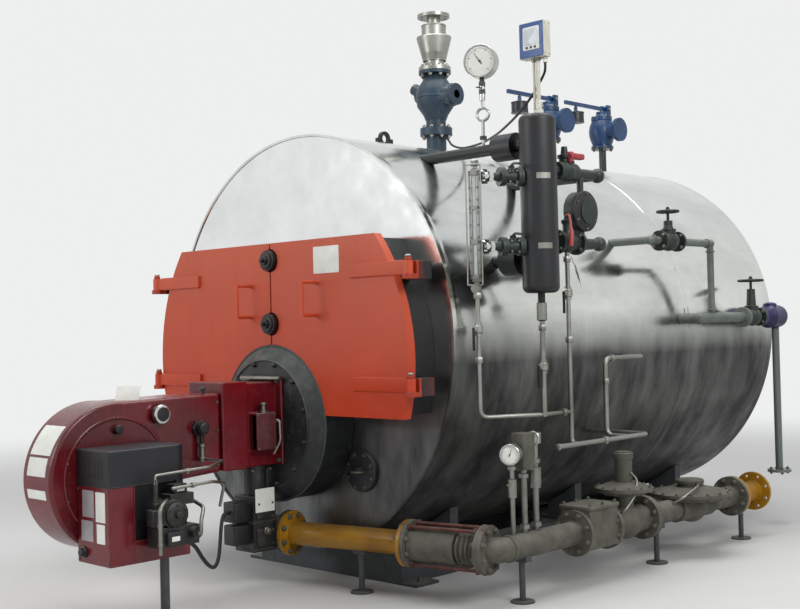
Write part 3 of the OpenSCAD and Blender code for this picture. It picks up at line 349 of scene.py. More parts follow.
def sweep(path, radius, sides=12):
    # ring of the given radius, square to the path, at each of its points
    path = np.array(path, float)
    t = np.gradient(path, axis=0)
    t /= np.linalg.norm(t, axis=1, keepdims=True)
    trials = np.array([(0.31, 0.52, 0.79), (0.79, -0.52, 0.31), (-0.52, 0.31, 0.79), (0.9, 0.4, -0.17)])
    trials /= np.linalg.norm(trials, axis=1, keepdims=True)
    side = trials[np.argmin(np.abs(t @ trials.T).max(0))]
    u = np.cross(t, side)
    u /= np.linalg.norm(u, axis=1, keepdims=True)
    v = np.cross(t, u)
    a = np.linspace(0, 2 * np.pi, sides, endpoint=False)
    ring = np.cos(a)[:, None] * u[:, None] + np.sin(a)[:, None] * v[:, None]
    points = path[:, None] + np.broadcast_to(radius, len(path))[:, None, None] * ring
    ends = [np.arange(sides)[::-1], (len(path) - 1) * sides + np.arange(sides)]
    return points.reshape(-1, 3), gridFaces(len(path), sides), ends


def curvedPath(points, steps=8):
    # smooth curve through the points: cubic between neighbours, slopes from their neighbours
    p = np.array(points, float)
    p = np.concatenate([2 * p[:1] - p[1:2], p, 2 * p[-1:] - p[-2:-1]])
    t = np.linspace(0, 1, steps, endpoint=False)[:, None]
    a, b, c, d = p[:-3, None], p[1:-2, None], p[2:-1, None], p[3:, None]
    run = 0.5 * (2 * b + (c - a) * t + (2 * a - 5 * b + 4 * c - d) * t**2 + (3 * b - a - 3 * c + d) * t**3)
    return np.concatenate([run.reshape(-1, 3), p[-2:-1]])


def bentPath(points, bend, steps=7):
    # straight runs with each corner rounded by a parabola that starts bend mm before it
    p = np.array(points, float)
    legs = np.diff(p, axis=0)
    length = np.linalg.norm(legs, axis=1, keepdims=True)
    unit = legs / length
    reach = np.minimum(bend, 0.49 * np.minimum(length[:-1], length[1:]))
    t = np.linspace(0, 1, steps)[:, None]
    start, corner, end = p[1:-1] - unit[:-1] * reach, p[1:-1], p[1:-1] + unit[1:] * reach
    arcs = (1 - t)**2 * start[:, None] + 2 * t * (1 - t) * corner[:, None] + t**2 * end[:, None]
    return np.concatenate([p[:1], arcs.reshape(-1, 3), p[-1:]])


def pipe(points, radius, bend, sides=14):
    return sweep(bentPath(points, bend), radius, sides)


def block(low, high, corner=6, edge=3, axis=2, steps=5):
    # rounded rectangle carried along an axis, drawn in by a quarter circle at both ends
    low, high = np.array(low, float), np.array(high, float)
    order = [(1, 2, 0), (2, 0, 1), (0, 1, 2)][axis]
    size, middle = (high - low)[list(order)], ((high + low) / 2)[list(order)]
    a = np.concatenate([np.linspace(0, np.pi / 2, steps) + k * np.pi / 2 for k in range(4)])
    signU, signV = np.repeat([1, -1, -1, 1], steps), np.repeat([1, 1, -1, -1], steps)
    b = np.linspace(0, np.pi / 2, 4)
    inset = np.concatenate([edge * (1 - np.sin(b)), edge * (1 - np.sin(b[::-1]))])
    rise = np.concatenate([edge * (1 - np.cos(b)), size[2] - edge * (1 - np.cos(b[::-1]))]) - size[2] / 2
    points = np.empty((len(inset), len(a), 3))
    points[..., order[0]] = middle[0] + signU * (size[0] / 2 - corner) + np.outer(corner - inset, np.cos(a))
    points[..., order[1]] = middle[1] + signV * (size[1] / 2 - corner) + np.outer(corner - inset, np.sin(a))
    points[..., order[2]] = middle[2] + rise[:, None]
    ends = [np.arange(len(a))[::-1], (len(inset) - 1) * len(a) + np.arange(len(a))]
    return points.reshape(-1, 3), gridFaces(len(inset), len(a)), ends


def scatter(template, places, directions):
    # the template, drawn along +Z at the origin, at each place and along each direction
    points, quads, caps = template
    places, w = np.array(places, float).reshape(-1, 3), np.array(directions, float).reshape(-1, 3)
    w = np.broadcast_to(w, places.shape) / np.linalg.norm(w, axis=-1, keepdims=True)
    side = np.where(np.abs(w[:, 2:]) < 0.9, upward, rearward)
    u = np.cross(side, w)
    u /= np.linalg.norm(u, axis=1, keepdims=True)
    v = np.cross(w, u)
    every = places[:, None] + points[:, 0, None] * u[:, None] + points[:, 1, None] * v[:, None] \
        + points[:, 2, None] * w[:, None]
    shift = np.arange(len(places)) * len(points)
    faces = (quads[None] + shift[:, None, None]).reshape(-1, 4)
    return every.reshape(-1, 3), faces, [cap + k for k in shift for cap in caps]


def boltHead(size):
    # washer, chamfered hexagon and stub of thread for a bolt of that thread size
    washer = [(0, 1), (0.16, 1)]
    hexagon = [(0.15, 0.86), (0.75, 0.86), (0.85, 0.72)]
    stub = [(0.8, 0.48), (1.15, 0.48), (1.25, 0.38)]
    return merge([lathe(origin, upward, np.array(profile) * size, sides)
                  for profile, sides in ((washer, 16), (hexagon, 6), (stub, 10))])


def ringPlaces(place, direction, radius, count):
    # count places evenly round an axis, the first half a step from the level
    u, v, w = axesOf(direction)
    a = (np.arange(count) + 0.5) * 2 * np.pi / count
    return np.array(place, float) + radius * (np.cos(a)[:, None] * u + np.sin(a)[:, None] * v)


def boltRing(place, direction, radius, count, size, through=0):
    # bolts round an axis; where they go through, the nuts sit on the far side of a pair of flanges
    w = axesOf(direction)[2]
    spots = ringPlaces(place, direction, radius, count)
    heads = scatter(boltHead(size), spots, w)
    return merge([heads, scatter(boltHead(size), spots - w * through, -w)]) if through else heads


def meshOf(name, shape):
    points, quads, caps = shape
    mesh = bpy.data.meshes.new(name)
    mesh.from_pydata((points * 0.001).tolist(), [], quads.tolist() + [cap.tolist() for cap in caps])
    return mesh


def copyOf(node, finish, join=0.0):
    # a CAD node's mesh with doubled points made one and faces joined that bend less than join degrees
    mesh = nodes[node].data.copy()
    shape = bmesh.new()
    shape.from_mesh(mesh)
    bmesh.ops.remove_doubles(shape, verts=shape.verts, dist=2e-5)
    if join:
        bmesh.ops.dissolve_limit(shape, angle_limit=math.radians(join), verts=shape.verts, edges=shape.edges)
    shape.to_mesh(mesh)
    shape.free()
    mesh.materials.clear()
    mesh.materials.append(looks[finish])
    return mesh


def finished(obj, body, replaced=()):
    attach(obj, body)
    if replaced:
        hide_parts(*replaced)


def piece(name, shape, finish, body="boiler", sharp=35, replaced=()):
    # object from a shape or a list of shapes
    mesh = meshOf(name, merge(shape) if isinstance(shape, list) else shape)
    mesh.update()
    mesh.shade_smooth()
    mesh.set_sharp_from_angle(angle=math.radians(sharp))
    mesh.materials.append(looks[finish])
    obj = bpy.data.objects.new(name, mesh)
    bpy.context.collection.objects.link(obj)
    finished(obj, body, replaced)


def eased(name, width, finish, segments=2, sharp=32):
    # copy of a CAD node with its edges rounded by a width in mm, shown in its place
    mesh = copyOf(name, finish, join=0.6)
    mesh.name = name + "_eased"
    mesh.shade_smooth()
    mesh.set_sharp_from_angle(angle=math.radians(sharp))
    obj = bpy.data.objects.new(name + "_eased", mesh)
    bpy.context.collection.objects.link(obj)
    if width:
        rim = obj.modifiers.new("rounded_edges", "BEVEL")
        rim.width, rim.segments, rim.limit_method = width / 1000, segments, "ANGLE"
        rim.angle_limit, rim.harden_normals = math.radians(sharp), True
    finished(obj, body_of(nodes[name])[0], (name,))


# Clad shell: three courses of sheet with raised lap bands, rivets and a rim at each end

shell = {"axis": 1200, "radius": 1050, "inner": 1038, "half": 1500, "rim": 26, "seams": (-500, 500),
         "lap": 42, "step": 5, "sunk": 1.5, "jointAngle": 1.4, "wave": 0.45, "rivet": 3.4}
furnaceZ = 794
steamY = -430
safetyY = {"front": 640, "rear": 1230}


def cladding(s):
    # radius = sheet radius + slow ripples along and around, or the full radius on laps and rims
    lapEdges = np.array([-s["lap"] / 2 - s["step"], -s["lap"] / 2, s["lap"] / 2, s["lap"] / 2 + s["step"]])
    rimEdges = s["half"] - s["rim"] - np.array([0, s["step"]])
    y = np.unique(np.concatenate([np.linspace(-s["half"], s["half"], 121), rimEdges, -rimEdges]
                                 + [seam + lapEdges for seam in s["seams"]]))
    jointTurn = math.radians(s["jointAngle"])
    a = np.linspace(0, 2 * np.pi, 288, endpoint=False) + jointTurn
    yy, aa = np.meshgrid(y, a, indexing="ij")
    ripple = s["wave"] * (np.sin(yy / 118 + 1.7 * np.sin(3 * aa)) + 0.7 * np.sin(aa * 11 + yy / 260)
                          + 0.5 * np.sin(aa * 23 - yy / 75))
    band = np.abs(yy) > s["half"] - s["rim"] - 0.5
    for seam in s["seams"]:
        band |= np.abs(yy - seam) <= s["lap"] / 2 + 0.5
    joint = np.abs((aa - jointTurn + np.pi) % (2 * np.pi) - np.pi) < 0.0218
    radius = np.where(band | joint, s["radius"], s["radius"] - s["sunk"] + np.minimum(ripple, 1.1))
    outer = np.stack([radius * np.cos(aa), yy, s["axis"] + radius * np.sin(aa)], -1)
    ends = y[[-1, 0]]
    inner = np.stack(np.broadcast_arrays(s["inner"] * np.cos(a), ends[:, None],
                                         s["axis"] + s["inner"] * np.sin(a)), -1)
    points = np.concatenate([outer, inner])
    quads = gridFaces(len(points), len(a), True)[:, ::-1]
    return points.reshape(-1, 3), quads, []


def claddingRivets(s):
    # rivets round each seam and rim, and along the sheets' joint
    head = lathe(origin, upward, [(0, s["rivet"]), (0.7, s["rivet"] * 0.8), (1.1, s["rivet"] * 0.35)], 8)
    ringY = [seam + k for seam in s["seams"] for k in (-12, 12)] + [14 - s["half"], s["half"] - 14]
    turn, y = np.meshgrid(np.arange(72) * 2 * np.pi / 72 + 0.04, ringY, indexing="ij")
    jointY = np.arange(-1440, 1441, 80)
    turn = np.append(turn, np.full(len(jointY), math.radians(s["jointAngle"])))
    outward = np.stack([np.cos(turn), 0 * turn, np.sin(turn)], -1)
    places = outward * (s["radius"] - 1.2) + (0, 0, s["axis"])
    places[:, 1] = np.append(y, jointY)
    return scatter(head, places, outward)


piece("cladding_sheets", cladding(shell), "bright_cladding", sharp=24, replaced=("shell_cladding",))
piece("cladding_rivets", claddingRivets(shell), "steel_fitting")

# Collars where the steam neck and the safety valves pass through the cladding
collars = [lathe((0, y, 2238), upward, [(0, r + 26), (13, r + 26), (15, r + 23), (16, r + 4)], 40)
           for y, r in ((steamY, 57), (safetyY["front"], 24), (safetyY["rear"], 24))]
piece("cladding_collars", collars, "bright_cladding")

for end in ("front_plate", "rear_plate"):
    eased(end, 1.5, "bright_plate")
print("shell done")


# Smokebox: doors with their weld beads, blank plate, hinge pins and clamps, and the tubes behind them

doors = {"front": -1689, "weldY": -1690, "strapX": (588, 930), "hingeX": 967, "hingeY": -1699,
         "hingeZ": (1000, 1525), "handleX": {1: 345, -1: 150}, "handleZ": 1405, "knobZ": (1289, 1605),
         "label": (328, 507, 1524, 1653)}

eased("door_right", 5, "orange_enamel", 3)
eased("door_left", 5, "orange_enamel", 3)
eased("hinge_brackets", 3, "hinge_enamel")
eased("door_clamps", 4, "black_steel")
eased("smokebox", 2, "black_steel")
eased("furnace_mouth", 6, "dusty_black_steel", 3)
eased("access_covers", 5, "dusty_black_steel", 3)

for side, body in ((1, "door_right"), (-1, "door_left")):
    strapWelds = [sweep([(side * x, doors["weldY"] - 0.5, z + d) for x in doors["strapX"]], 4, 8)
                  for z in doors["hingeZ"] for d in (-30, 30)]
    handleWelds = [torus((side * doors["handleX"][side], doors["weldY"], doors["handleZ"] + d), forward,
                         11, 4, 24) for d in (-79, 79)]
    piece("door_welds_" + body, strapWelds + handleWelds, "orange_enamel", body)

x0, x1, z0, z1 = doors["label"]
label = block((x0, doors["front"] - 3, z0), (x1, doors["front"] + 1, z1), 6, 1, 1)
piece("door_blank_plate", label, "blank_film", "door_right")
pins = [lathe((side * doors["hingeX"], doors["hingeY"], z + 49), upward,
              [(0, 15), (4, 15), (7, 12), (8, 6)], 20) for side in (-1, 1) for z in doors["hingeZ"]]
piece("hinge_pin_heads", pins, "steel_fitting")
clampRings = [lathe((0, doors["front"] - 26, z), forward, [(0, 42), (5, 42), (9, 38), (10, 26)], 40)
              for z in doors["knobZ"]]
clampStuds = [lathe((0, doors["front"] - 46, z), forward, [(0, 11), (16, 11), (19, 8)], 16)
              for z in doors["knobZ"]]
piece("clamp_washers", clampRings + clampStuds, "black_steel")

tubes = {"front": -1484, "pitch": 74, "outer": 28, "inner": 25, "proud": 5, "deep": 60,
         "axis": 1110, "reach": 860, "low": 920, "high": 1617, "furnaceClear": 460}


def tubeSpots(t):
    # staggered rows of tubes inside the smokebox outline and clear of the furnace
    rows, cols = np.meshgrid(np.arange(-12, 13), np.arange(-14, 15), indexing="ij")
    x = (cols + 0.5 * (rows % 2)) * t["pitch"]
    z = t["axis"] + rows * t["pitch"] * 0.866
    inside = (np.hypot(x, z - t["axis"]) < t["reach"]) & (z > t["low"]) & (z < t["high"])
    inside &= np.hypot(x, z - furnaceZ) > t["furnaceClear"]
    return np.stack([x[inside], np.full(inside.sum(), t["front"]), z[inside]], -1)


def drilledSheet(spots, radius):
    # the tube plate with a hole at each spot
    cutter = bpy.data.objects.new("tube_holes", meshOf("tube_holes", scatter(
        lathe(origin, upward, [(-40, radius), (20, radius)], 20), spots, forward)))
    drilled = bpy.data.objects.new("tube_sheet_drilled", copyOf("tube_plate", "sooty_steel"))
    bpy.context.collection.objects.link(drilled)
    bpy.context.collection.objects.link(cutter)
    cut = drilled.modifiers.new("tube_holes", "BOOLEAN")
    cut.object, cut.operation, cut.solver = cutter, "DIFFERENCE", "EXACT"
    depsgraph = bpy.context.evaluated_depsgraph_get()
    drilled.data = bpy.data.meshes.new_from_object(drilled.evaluated_get(depsgraph))
    drilled.modifiers.clear()
    bpy.data.objects.remove(cutter)
    finished(drilled, "boiler", ("tube_plate",))


tubeAt = tubeSpots(tubes)
outer, inner, proud = tubes["outer"], tubes["inner"], tubes["proud"]
tubeEnd = lathe(origin, upward, [(-tubes["deep"], outer), (proud - 1, outer), (proud, outer - 1),
                                 (proud, inner), (-tubes["deep"], inner)], 20, True)
piece("tube_ends", scatter(tubeEnd, tubeAt, forward), "sooty_steel")
drilledSheet(tubeAt, outer - 0.5)

# Furnace mouth, hand hole covers, rear cover and flue flange
mouthBolts = boltRing((0, -1739, furnaceZ), forward, 301, 12, 14)
mouthRing = torus((0, -1740, furnaceZ), forward, 316, 5, 96)
piece("burner_plate_studs", [mouthBolts, mouthRing], "dusty_black_steel")
piece("mouth_rope_gasket", torus((0, -1687, furnaceZ), rearward, 385, 5, 96), "grey_paint")
cover = {"x": 435, "y": -1516, "z": 565}
coverBolts = [boltRing((side * (cover["x"] + 0.3), cover["y"], cover["z"]), forward, 84, 8, 9)
              for side in (-1, 1)]
handle = curvedPath([(-34, 0, 0), (-30, -30, 0), (0, -40, 0), (30, -30, 0), (34, 0, 0)])
coverHandles = [sweep(handle + (side * cover["x"], cover["y"], cover["z"]), 6, 10) for side in (-1, 1)]
piece("hand_hole_bolts", coverBolts + coverHandles, "zinc_bolts")
rearBolts = boltRing((0, 1530, furnaceZ), rearward, 250, 16, 12)
flueBolts = boltRing((0, 1696, 1720), forward, 195, 8, 12)
piece("rear_bolts", [rearBolts, flueBolts], "zinc_bolts")
print("doors and ends done")


# Skid, saddles, lugs, stands

for name, width in (("skid_rails", 4), ("cross_members", 4), ("shell_saddles", 2), ("lifting_lugs", 3),
                    ("flue_outlet", 2), ("floor_stands", 1.5)):
    eased(name, width, "black_steel" if name == "lifting_lugs" else "grey_paint")
anchors = [(sideX * 585, sideY * 1270, 15) for sideX in (-1, 1) for sideY in (-1, 1)]
piece("floor_anchor_bolts", scatter(boltHead(20), anchors, upward), "zinc_bolts")
piece("burner_leg_bolts", scatter(boltHead(8), [(282, -2574, 10), (366, -2574, 10)], upward), "zinc_bolts")


# Burner: fan casing, head, motor cover, control box, sensors, pump

burner = {"side": 116, "fanY": -2664, "fanZ": 640, "fanR": 325, "panelY": -2864}
fanAt = np.array((burner["side"], burner["fanY"], burner["fanZ"]))
sensorY = -2234

eased("burner_head", 7, "burner_red", 3)
eased("burner_fan_casing", 16, "burner_red", 4, 40)
eased("burner_motor_cover", 20, "burner_black", 4)
eased("burner_control_box", 6, "burner_red", 3)
eased("burner_sensors", 2.5, "burner_black")
eased("burner_pump", 4, "dark_alloy")


def rimPatch(a0, a1, x0, x1, lift=1.2):
    # sheet lying on the rim of the fan casing between two angles, seen from the side;
    # where the rim is foremost the sheet lies closer, so that it stays behind the casing's front
    a = np.radians(np.linspace(a0, a1, 14))
    x = np.array([x0, x0 + 1, x1 - 1, x1])
    rise = np.array([0.2, lift, lift, 0.2])
    aa, xx = np.meshgrid(a, x, indexing="ij")
    foremost = (burner["fanR"] - 0.1) / np.abs(np.cos(aa))
    r = np.minimum(burner["fanR"] + np.broadcast_to(rise, aa.shape), foremost)
    points = np.stack([xx, burner["fanY"] + r * np.cos(aa), burner["fanZ"] + r * np.sin(aa)], -1)
    return points.reshape(-1, 3), gridFaces(len(a), 4, False, False), []


rimFilms = [rimPatch(159, 134, -78, 84), rimPatch(175, 161, -74, 76), rimPatch(192, 185, -74, 76)]
piece("fan_rim_films", rimFilms, "blank_film")
tag = block((-56, -3, 0), (56, 1, 74), 4, 1, 1)
tag = turned(turned(tag, -24, axis=rightward), 34)
piece("casing_top_film", moved(tag, (38, -2560, 958)), "blank_film")
fanFace = lathe(fanAt, rightward, [(-1, 262), (3, 262), (5, 259), (5, 250), (3, 247), (-1, 247)], 72)
piece("fan_side_cover", fanFace, "burner_red")
fanScrews = boltRing(fanAt + (4, 0, 0), rightward, 255, 10, 5)
casingAt = [(119, y, z) for y, z in ((-2125, 640), (-2125, 800), (-2125, 930), (-2300, 640), (-2420, 600))]
casingScrews = scatter(boltHead(7), casingAt, rightward)
headBolts = scatter(boltHead(12), [(x, -1755, z) for x in (-120, 120) for z in (625, 1010)], forward)
piece("burner_screws", [fanScrews, casingScrews, headBolts], "zinc_bolts")
sideKnob = lathe(fanAt + (0, 0, 205), rightward,
                 [(0, 13), (8, 13), (10, 20), (22, 20), (25, 17), (26, 8)], 28)
topKnob = lathe((98, -2190, 965), upward, [(0, 7), (20, 7), (22, 13), (34, 13), (37, 9)], 20)
piece("burner_small_knobs", [sideKnob, topKnob], "burner_black")
piece("burner_hinge_rod", sweep([(-150, -1765, 1022), (150, -1765, 1022)], 12, 16), "steel_fitting")

peephole = np.array((154, -2450, 897))
peepRing = lathe(peephole, rightward, [(-22, 43), (-2, 43), (2, 40), (3, 32), (-2, 30)], 48)
piece("burner_sight_ring", peepRing, "chrome_trim")
peepPane = lathe(peephole - (2, 0, 0), rightward, [(0, 31), (3, 30), (4.5, 20)], 40)
piece("burner_sight_pane", peepPane, "burner_black")
sensorNut = lathe((128, sensorY, 818), rightward, [(-10, 38), (4, 38), (6, 35)], 6)
sensorCap = lathe((162, sensorY, 818), rightward, [(0, 26), (8, 26), (13, 20), (14, 8)], 32)
sensorNeck = lathe((144, sensorY, 668), upward,
                   [(0, 17), (14, 17), (18, 12), (60, 12), (64, 16), (76, 16), (80, 12)], 24)
piece("burner_sensor_fittings", sensorNeck, "steel_fitting")
piece("burner_sensor_cap", [sensorNut, sensorCap], "burner_black")

# Motor cover: a parting ridge round it and vent slots on its front
ridge = block((115.5, -2867, 627), (366, -2534, 633), 18, 2, 2)
slots = [block((150 + 26 * k, -2866, 665), (160 + 26 * k, -2862, 745), 3, 1, 1) for k in range(7)]
piece("motor_cover_ridge", [ridge, *slots], "burner_black")

# Control box: bare films (x from and to, z from and to), knob, screws and the seam of its lid
panelY = burner["panelY"]
films = {"blank_film": ("white", (262, 334, 486, 610), (268, 330, 398, 478)),
         "grey_film": ("grey", (160, 250, 500, 612), (150, 240, 400, 486))}
for finish, (tint, *spots) in films.items():
    piece("control_box_films_" + tint, [block((x0, panelY - 1.2, z0), (x1, panelY + 1, z1), 3, 0.6, 1)
                                        for x0, x1, z0, z1 in spots], finish)
boxKnob = lathe((170, panelY, 352), forward, [(0, 24), (6, 24), (8, 18), (22, 16), (25, 12)], 24)
piece("control_box_knob", boxKnob, "burner_black")
boxScrews = scatter(boltHead(5), [(x, panelY, z) for x in (130, 350) for z in (320, 615)], forward)
piece("control_box_screws", boxScrews, "zinc_bolts")
piece("control_box_lid_seam", block((120, -2746.5, 306), (366, -2741.5, 629), 2, 1, 1), "burner_red")

# Oil pump, drawn with its middle at the origin and then moved to its place
pumpAt = (339, -2564, 500)
pumpCover = [lathe((118, -40, 0), rightward, [(0, 52), (10, 52), (13, 48), (14, 20)], 32),
             boltRing((130, -40, 0), rightward, 42, 6, 6),
             lathe((132, -40, 0), rightward, [(0, 14), (16, 14), (18, 11)], 6)]
valveCap = [(0, 24), (18, 24), (22, 20), (40, 14), (42, 8)]
valveCaps = [lathe((84, y, -50), upward, valveCap, 24) for y in (-60, 10)]
solenoid = [block((60, -150, -40), (118, -84, 28), 8, 3, 2),
            lathe((88, -118, 28), upward, [(0, 11), (14, 11), (16, 15), (24, 15), (26, 10)], 6)]
pumpCoils = [block((36, -30, 82), (94, 40, 122), 8, 3, 2), block((126, -100, -118), (150, -20, -66), 6, 3, 0)]
pumpFilms = [block((149.5, -84, -104), (151, -44, -84), 2, 0.5, 0),
             block((94.5, -16, 92), (96, 22, 112), 2, 0.5, 0)]
oilPaths = [([(84, -115, 150), (84, -115, 168), (78, 170, 176), (-40, 330, 180), (-199, 330, 176)], 6, 22),
            ([(150, -140, -150), (150, -140, 40), (130, -100, 60), (90, -60, 60)], 9, 24),
            ([(120, -60, 110), (120, 150, 118), (60, 260, 96), (20, 262, -10)], 7, 26),
            ([(165, 38, -80), (186, 38, -80), (186, 38, -30), (150, 80, 20), (60, 90, 40)], 8, 22)]
oilLines = [pipe(np.add(points, pumpAt), radius, bend) for points, radius, bend in oilPaths]
unions = [lathe(place, direction, [(0, 12), (16, 12), (18, 9)], 6) for place, direction in (
    ((84, -115, 132), upward), ((78, 40, 171), rearward), ((150, -140, -120), upward),
    ((150, -140, -40), upward), ((165, 38, -80), rightward), ((120, 40, 114), rearward))]
for name, shapes, finish in (("pump_details", pumpCover + valveCaps + solenoid, "dark_alloy"),
                             ("pump_coils", pumpCoils, "burner_black"),
                             ("pump_films", pumpFilms, "blank_film")):
    piece(name, moved(merge(shapes), pumpAt), finish)
piece("oil_lines", [*oilLines, moved(merge(unions), pumpAt)], "steel_fitting")

# Servo motor on the head
piece("servo_cover", block((118, -1919, 684), (156, -1799, 864), 10, 5, 0), "dull_red")
servoNeck = lathe((132, -1859, 862), upward,
                  [(0, 17), (12, 17), (14, 12), (34, 12), (38, 16), (50, 16)], 20)
servoTube = pipe([(132, -1790, 820), (150, -1776, 820), (152, -1774, 720), (130, -1800, 660)], 8, 18)
servoScrews = scatter(boltHead(5), [(156, y, z) for y in (-1909, -1809) for z in (694, 854)], rightward)
piece("servo_fittings", [servoNeck, servoTube, servoScrews], "steel_fitting")
print("burner done")


# Gas train: bolts, bellows sleeve, tie rods, valve block, gauges; the side run goes along Y at gasX

gasX, gasZ, gasR = 1214, 255, 57
filterY, governorY, regulatorY = -730, -430, 200
riserY = (-1315, -1230, -1145)
turn = math.radians(12)
along = np.array((math.cos(turn), math.sin(turn), 0))
gas = {"corner": -1420, "start": 1160, "joint": (700, 1100), "bolt": 90, "size": 15, "flange": 20}
start = np.array((gasX, gas["corner"], gasZ)) - gas["start"] * along


def onRun(s):
    # a place on the front run, s mm from its first flange
    return start + s * along


eased("gas_pipes", 3, "yellow_paint")
eased("gas_valve_block", 7, "dark_alloy", 3)
eased("gas_filter", 8, "dusty_cream", 3)
for name in ("gas_pipe_side", "gas_governor", "gas_regulator"):
    eased(name, 3, "dusty_cream")
eased("gas_gauges", 2, "steel_fitting")

flange, (joint0, joint1) = gas["flange"], gas["joint"]
flangePairs = [boltRing(onRun(s + flange), along, gas["bolt"], 8, gas["size"], 2 * flange)
               for s in (0, joint0, joint1)]
flangePairs += [boltRing((gasX, y, gasZ), rearward, gas["bolt"], 8, gas["size"], depth)
                for y, depth in ((-845, 20), (-595, 20), (-245, 40), (660, 40))]
piece("gas_flange_bolts", flangePairs, "dusty_cream")
yellowWelds = [torus(onRun(s), along, gasR + 1, 5, 40) for s in (flange + 1, joint0 - flange - 1)]
yellowWelds += [torus((gasX, y, gasZ), rearward, gasR + 1, 5, 40) for y in (661, 879)]
piece("gas_weld_beads", yellowWelds, "yellow_paint")
creamWelds = [torus((gasX, y, gasZ), rearward, gasR + 1, 4, 40) for y in (-1352, -866, -244, 619)]
piece("gas_cream_welds", creamWelds, "dusty_cream")

# Flexible joint: a smooth outer sleeve, then bellows waves, held by rods
bellows = joint1 - joint0 - 2 * flange
sleeveLength, sleeveR, waveLength = 240, 79, 25
s = np.linspace(0, bellows, 141)
waves = 66 + 9 * np.sin(s * 2 * np.pi / waveLength) * np.clip(np.minimum(s, bellows - s) / 20, 0, 1)
waves = np.where(s < sleeveLength, sleeveR, waves)
sleeve = lathe(onRun(joint0 + flange), along, np.stack([s, waves], 1), 56)
sleeveRims = [torus(onRun(joint0 + flange + k), along, sleeveR, 4, 56) for k in (6, sleeveLength - 1)]
jointFlanges = [lathe(onRun(k), along, [(0, 108), (2, 110), (18, 110), (20, 108)], 64)
                for k in (joint0, joint1 - flange)]
piece("flexible_joint", [sleeve, *sleeveRims, *jointFlanges], "dusty_cream",
      replaced=("gas_flexible_joint",))
u, v, w = axesOf(along)
rods, nuts = [], []
for angle in (70, 118, 250, 298):
    offset = 97 * (math.cos(math.radians(angle)) * u + math.sin(math.radians(angle)) * v)
    rods.append(sweep([onRun(joint0 - 26) + offset, onRun(joint1 + 26) + offset], 9))
    nuts += [lathe(onRun(k) + offset, along, [(0, 17), (13, 17), (15, 13)], 6)
             for k in (joint0 - 16, joint0 + 21, joint1 - 36, joint1 + 1)]
piece("joint_tie_rods", rods + nuts, "rust_primer")

# Valve block: ribs, cover screws, coils and a blank plate; drawn about its upright axis, then moved
blockAt = (onRun(-80)[0], -1817, 0)
ribs = [block((-74, -74, z), (74, 74, z + 12), 8, 3, 2) for z in (187, 320, 444)]
ribs += [block((66, -52, z), (78, 52, z + 84), 8, 4, 0) for z in (212, 344)]
coverAt = [(78, y, z + dz) for z in (212, 344) for y in (-42, 42) for dz in (10, 74)]
blockScrews = [scatter(boltHead(7), coverAt, rightward), boltRing((0, 0, 584), downward, 76, 4, 9)]
plug = lathe((78, 0, 286), rightward, [(0, 20), (12, 20), (14, 16), (26, 16), (28, 12)], 6)
coils = [block((-48, -164, z - 48), (48, -72, z + 48), 12, 6, 2) for z in (275, 385)]
blankPlate = block((77, -62, 378), (81, 56, 492), 4, 1, 0)
for name, shapes, finish in (("ribs", ribs, "dark_alloy"), ("screws", blockScrews, "zinc_bolts"),
                             ("plug", [plug], "steel_fitting")):
    piece("valve_block_" + name, moved(merge(shapes), blockAt), finish)
piece("valve_coils", moved(merge(coils), blockAt), "burner_black")
piece("valve_blank_plate", moved(blankPlate, blockAt), "blank_film")

# Filter lid, diaphragm bolts, vent tower caps, pilot lines; drawn about x = 0, then moved to the run
lid = block((-96, filterY - 122, 365), (96, filterY + 122, 383), 14, 4, 2)
lidAt = [(x, filterY + y, 383) for x in (-78, 78) for y in (-100, 0, 100)]
lids = [lid, scatter(boltHead(11), lidAt, upward), boltRing((0, governorY, 428), upward, 134, 12, 9, 16),
        boltRing((0, regulatorY, 333), upward, 208, 16, 10, 16),
        lathe((0, governorY, 600), upward, [(-30, 50), (-4, 50), (0, 46), (3, 30)], 40),
        lathe((0, regulatorY, 398), upward, [(-20, 74), (-4, 74), (0, 70), (3, 40)])]
piece("gas_lids", moved(merge(lids), (gasX, 0, 0)), "dusty_cream")
pilots = [pipe([(30, -560, 300), (90, -560, 330), (100, -480, 400), (80, -430, 470), (44, -430, 500)], 6, 26),
          pipe([(40, -40, 300), (90, -20, 330), (110, 100, 380), (60, 170, 384)], 7, 30),
          pipe([(-40, 440, 290), (-90, 420, 330), (-80, 290, 384), (-50, 220, 388)], 6, 30)]
piece("gas_pilot_lines", moved(merge(pilots), (gasX, 0, 0)), "steel_fitting")


# Gauges, switch box and cocks on the risers

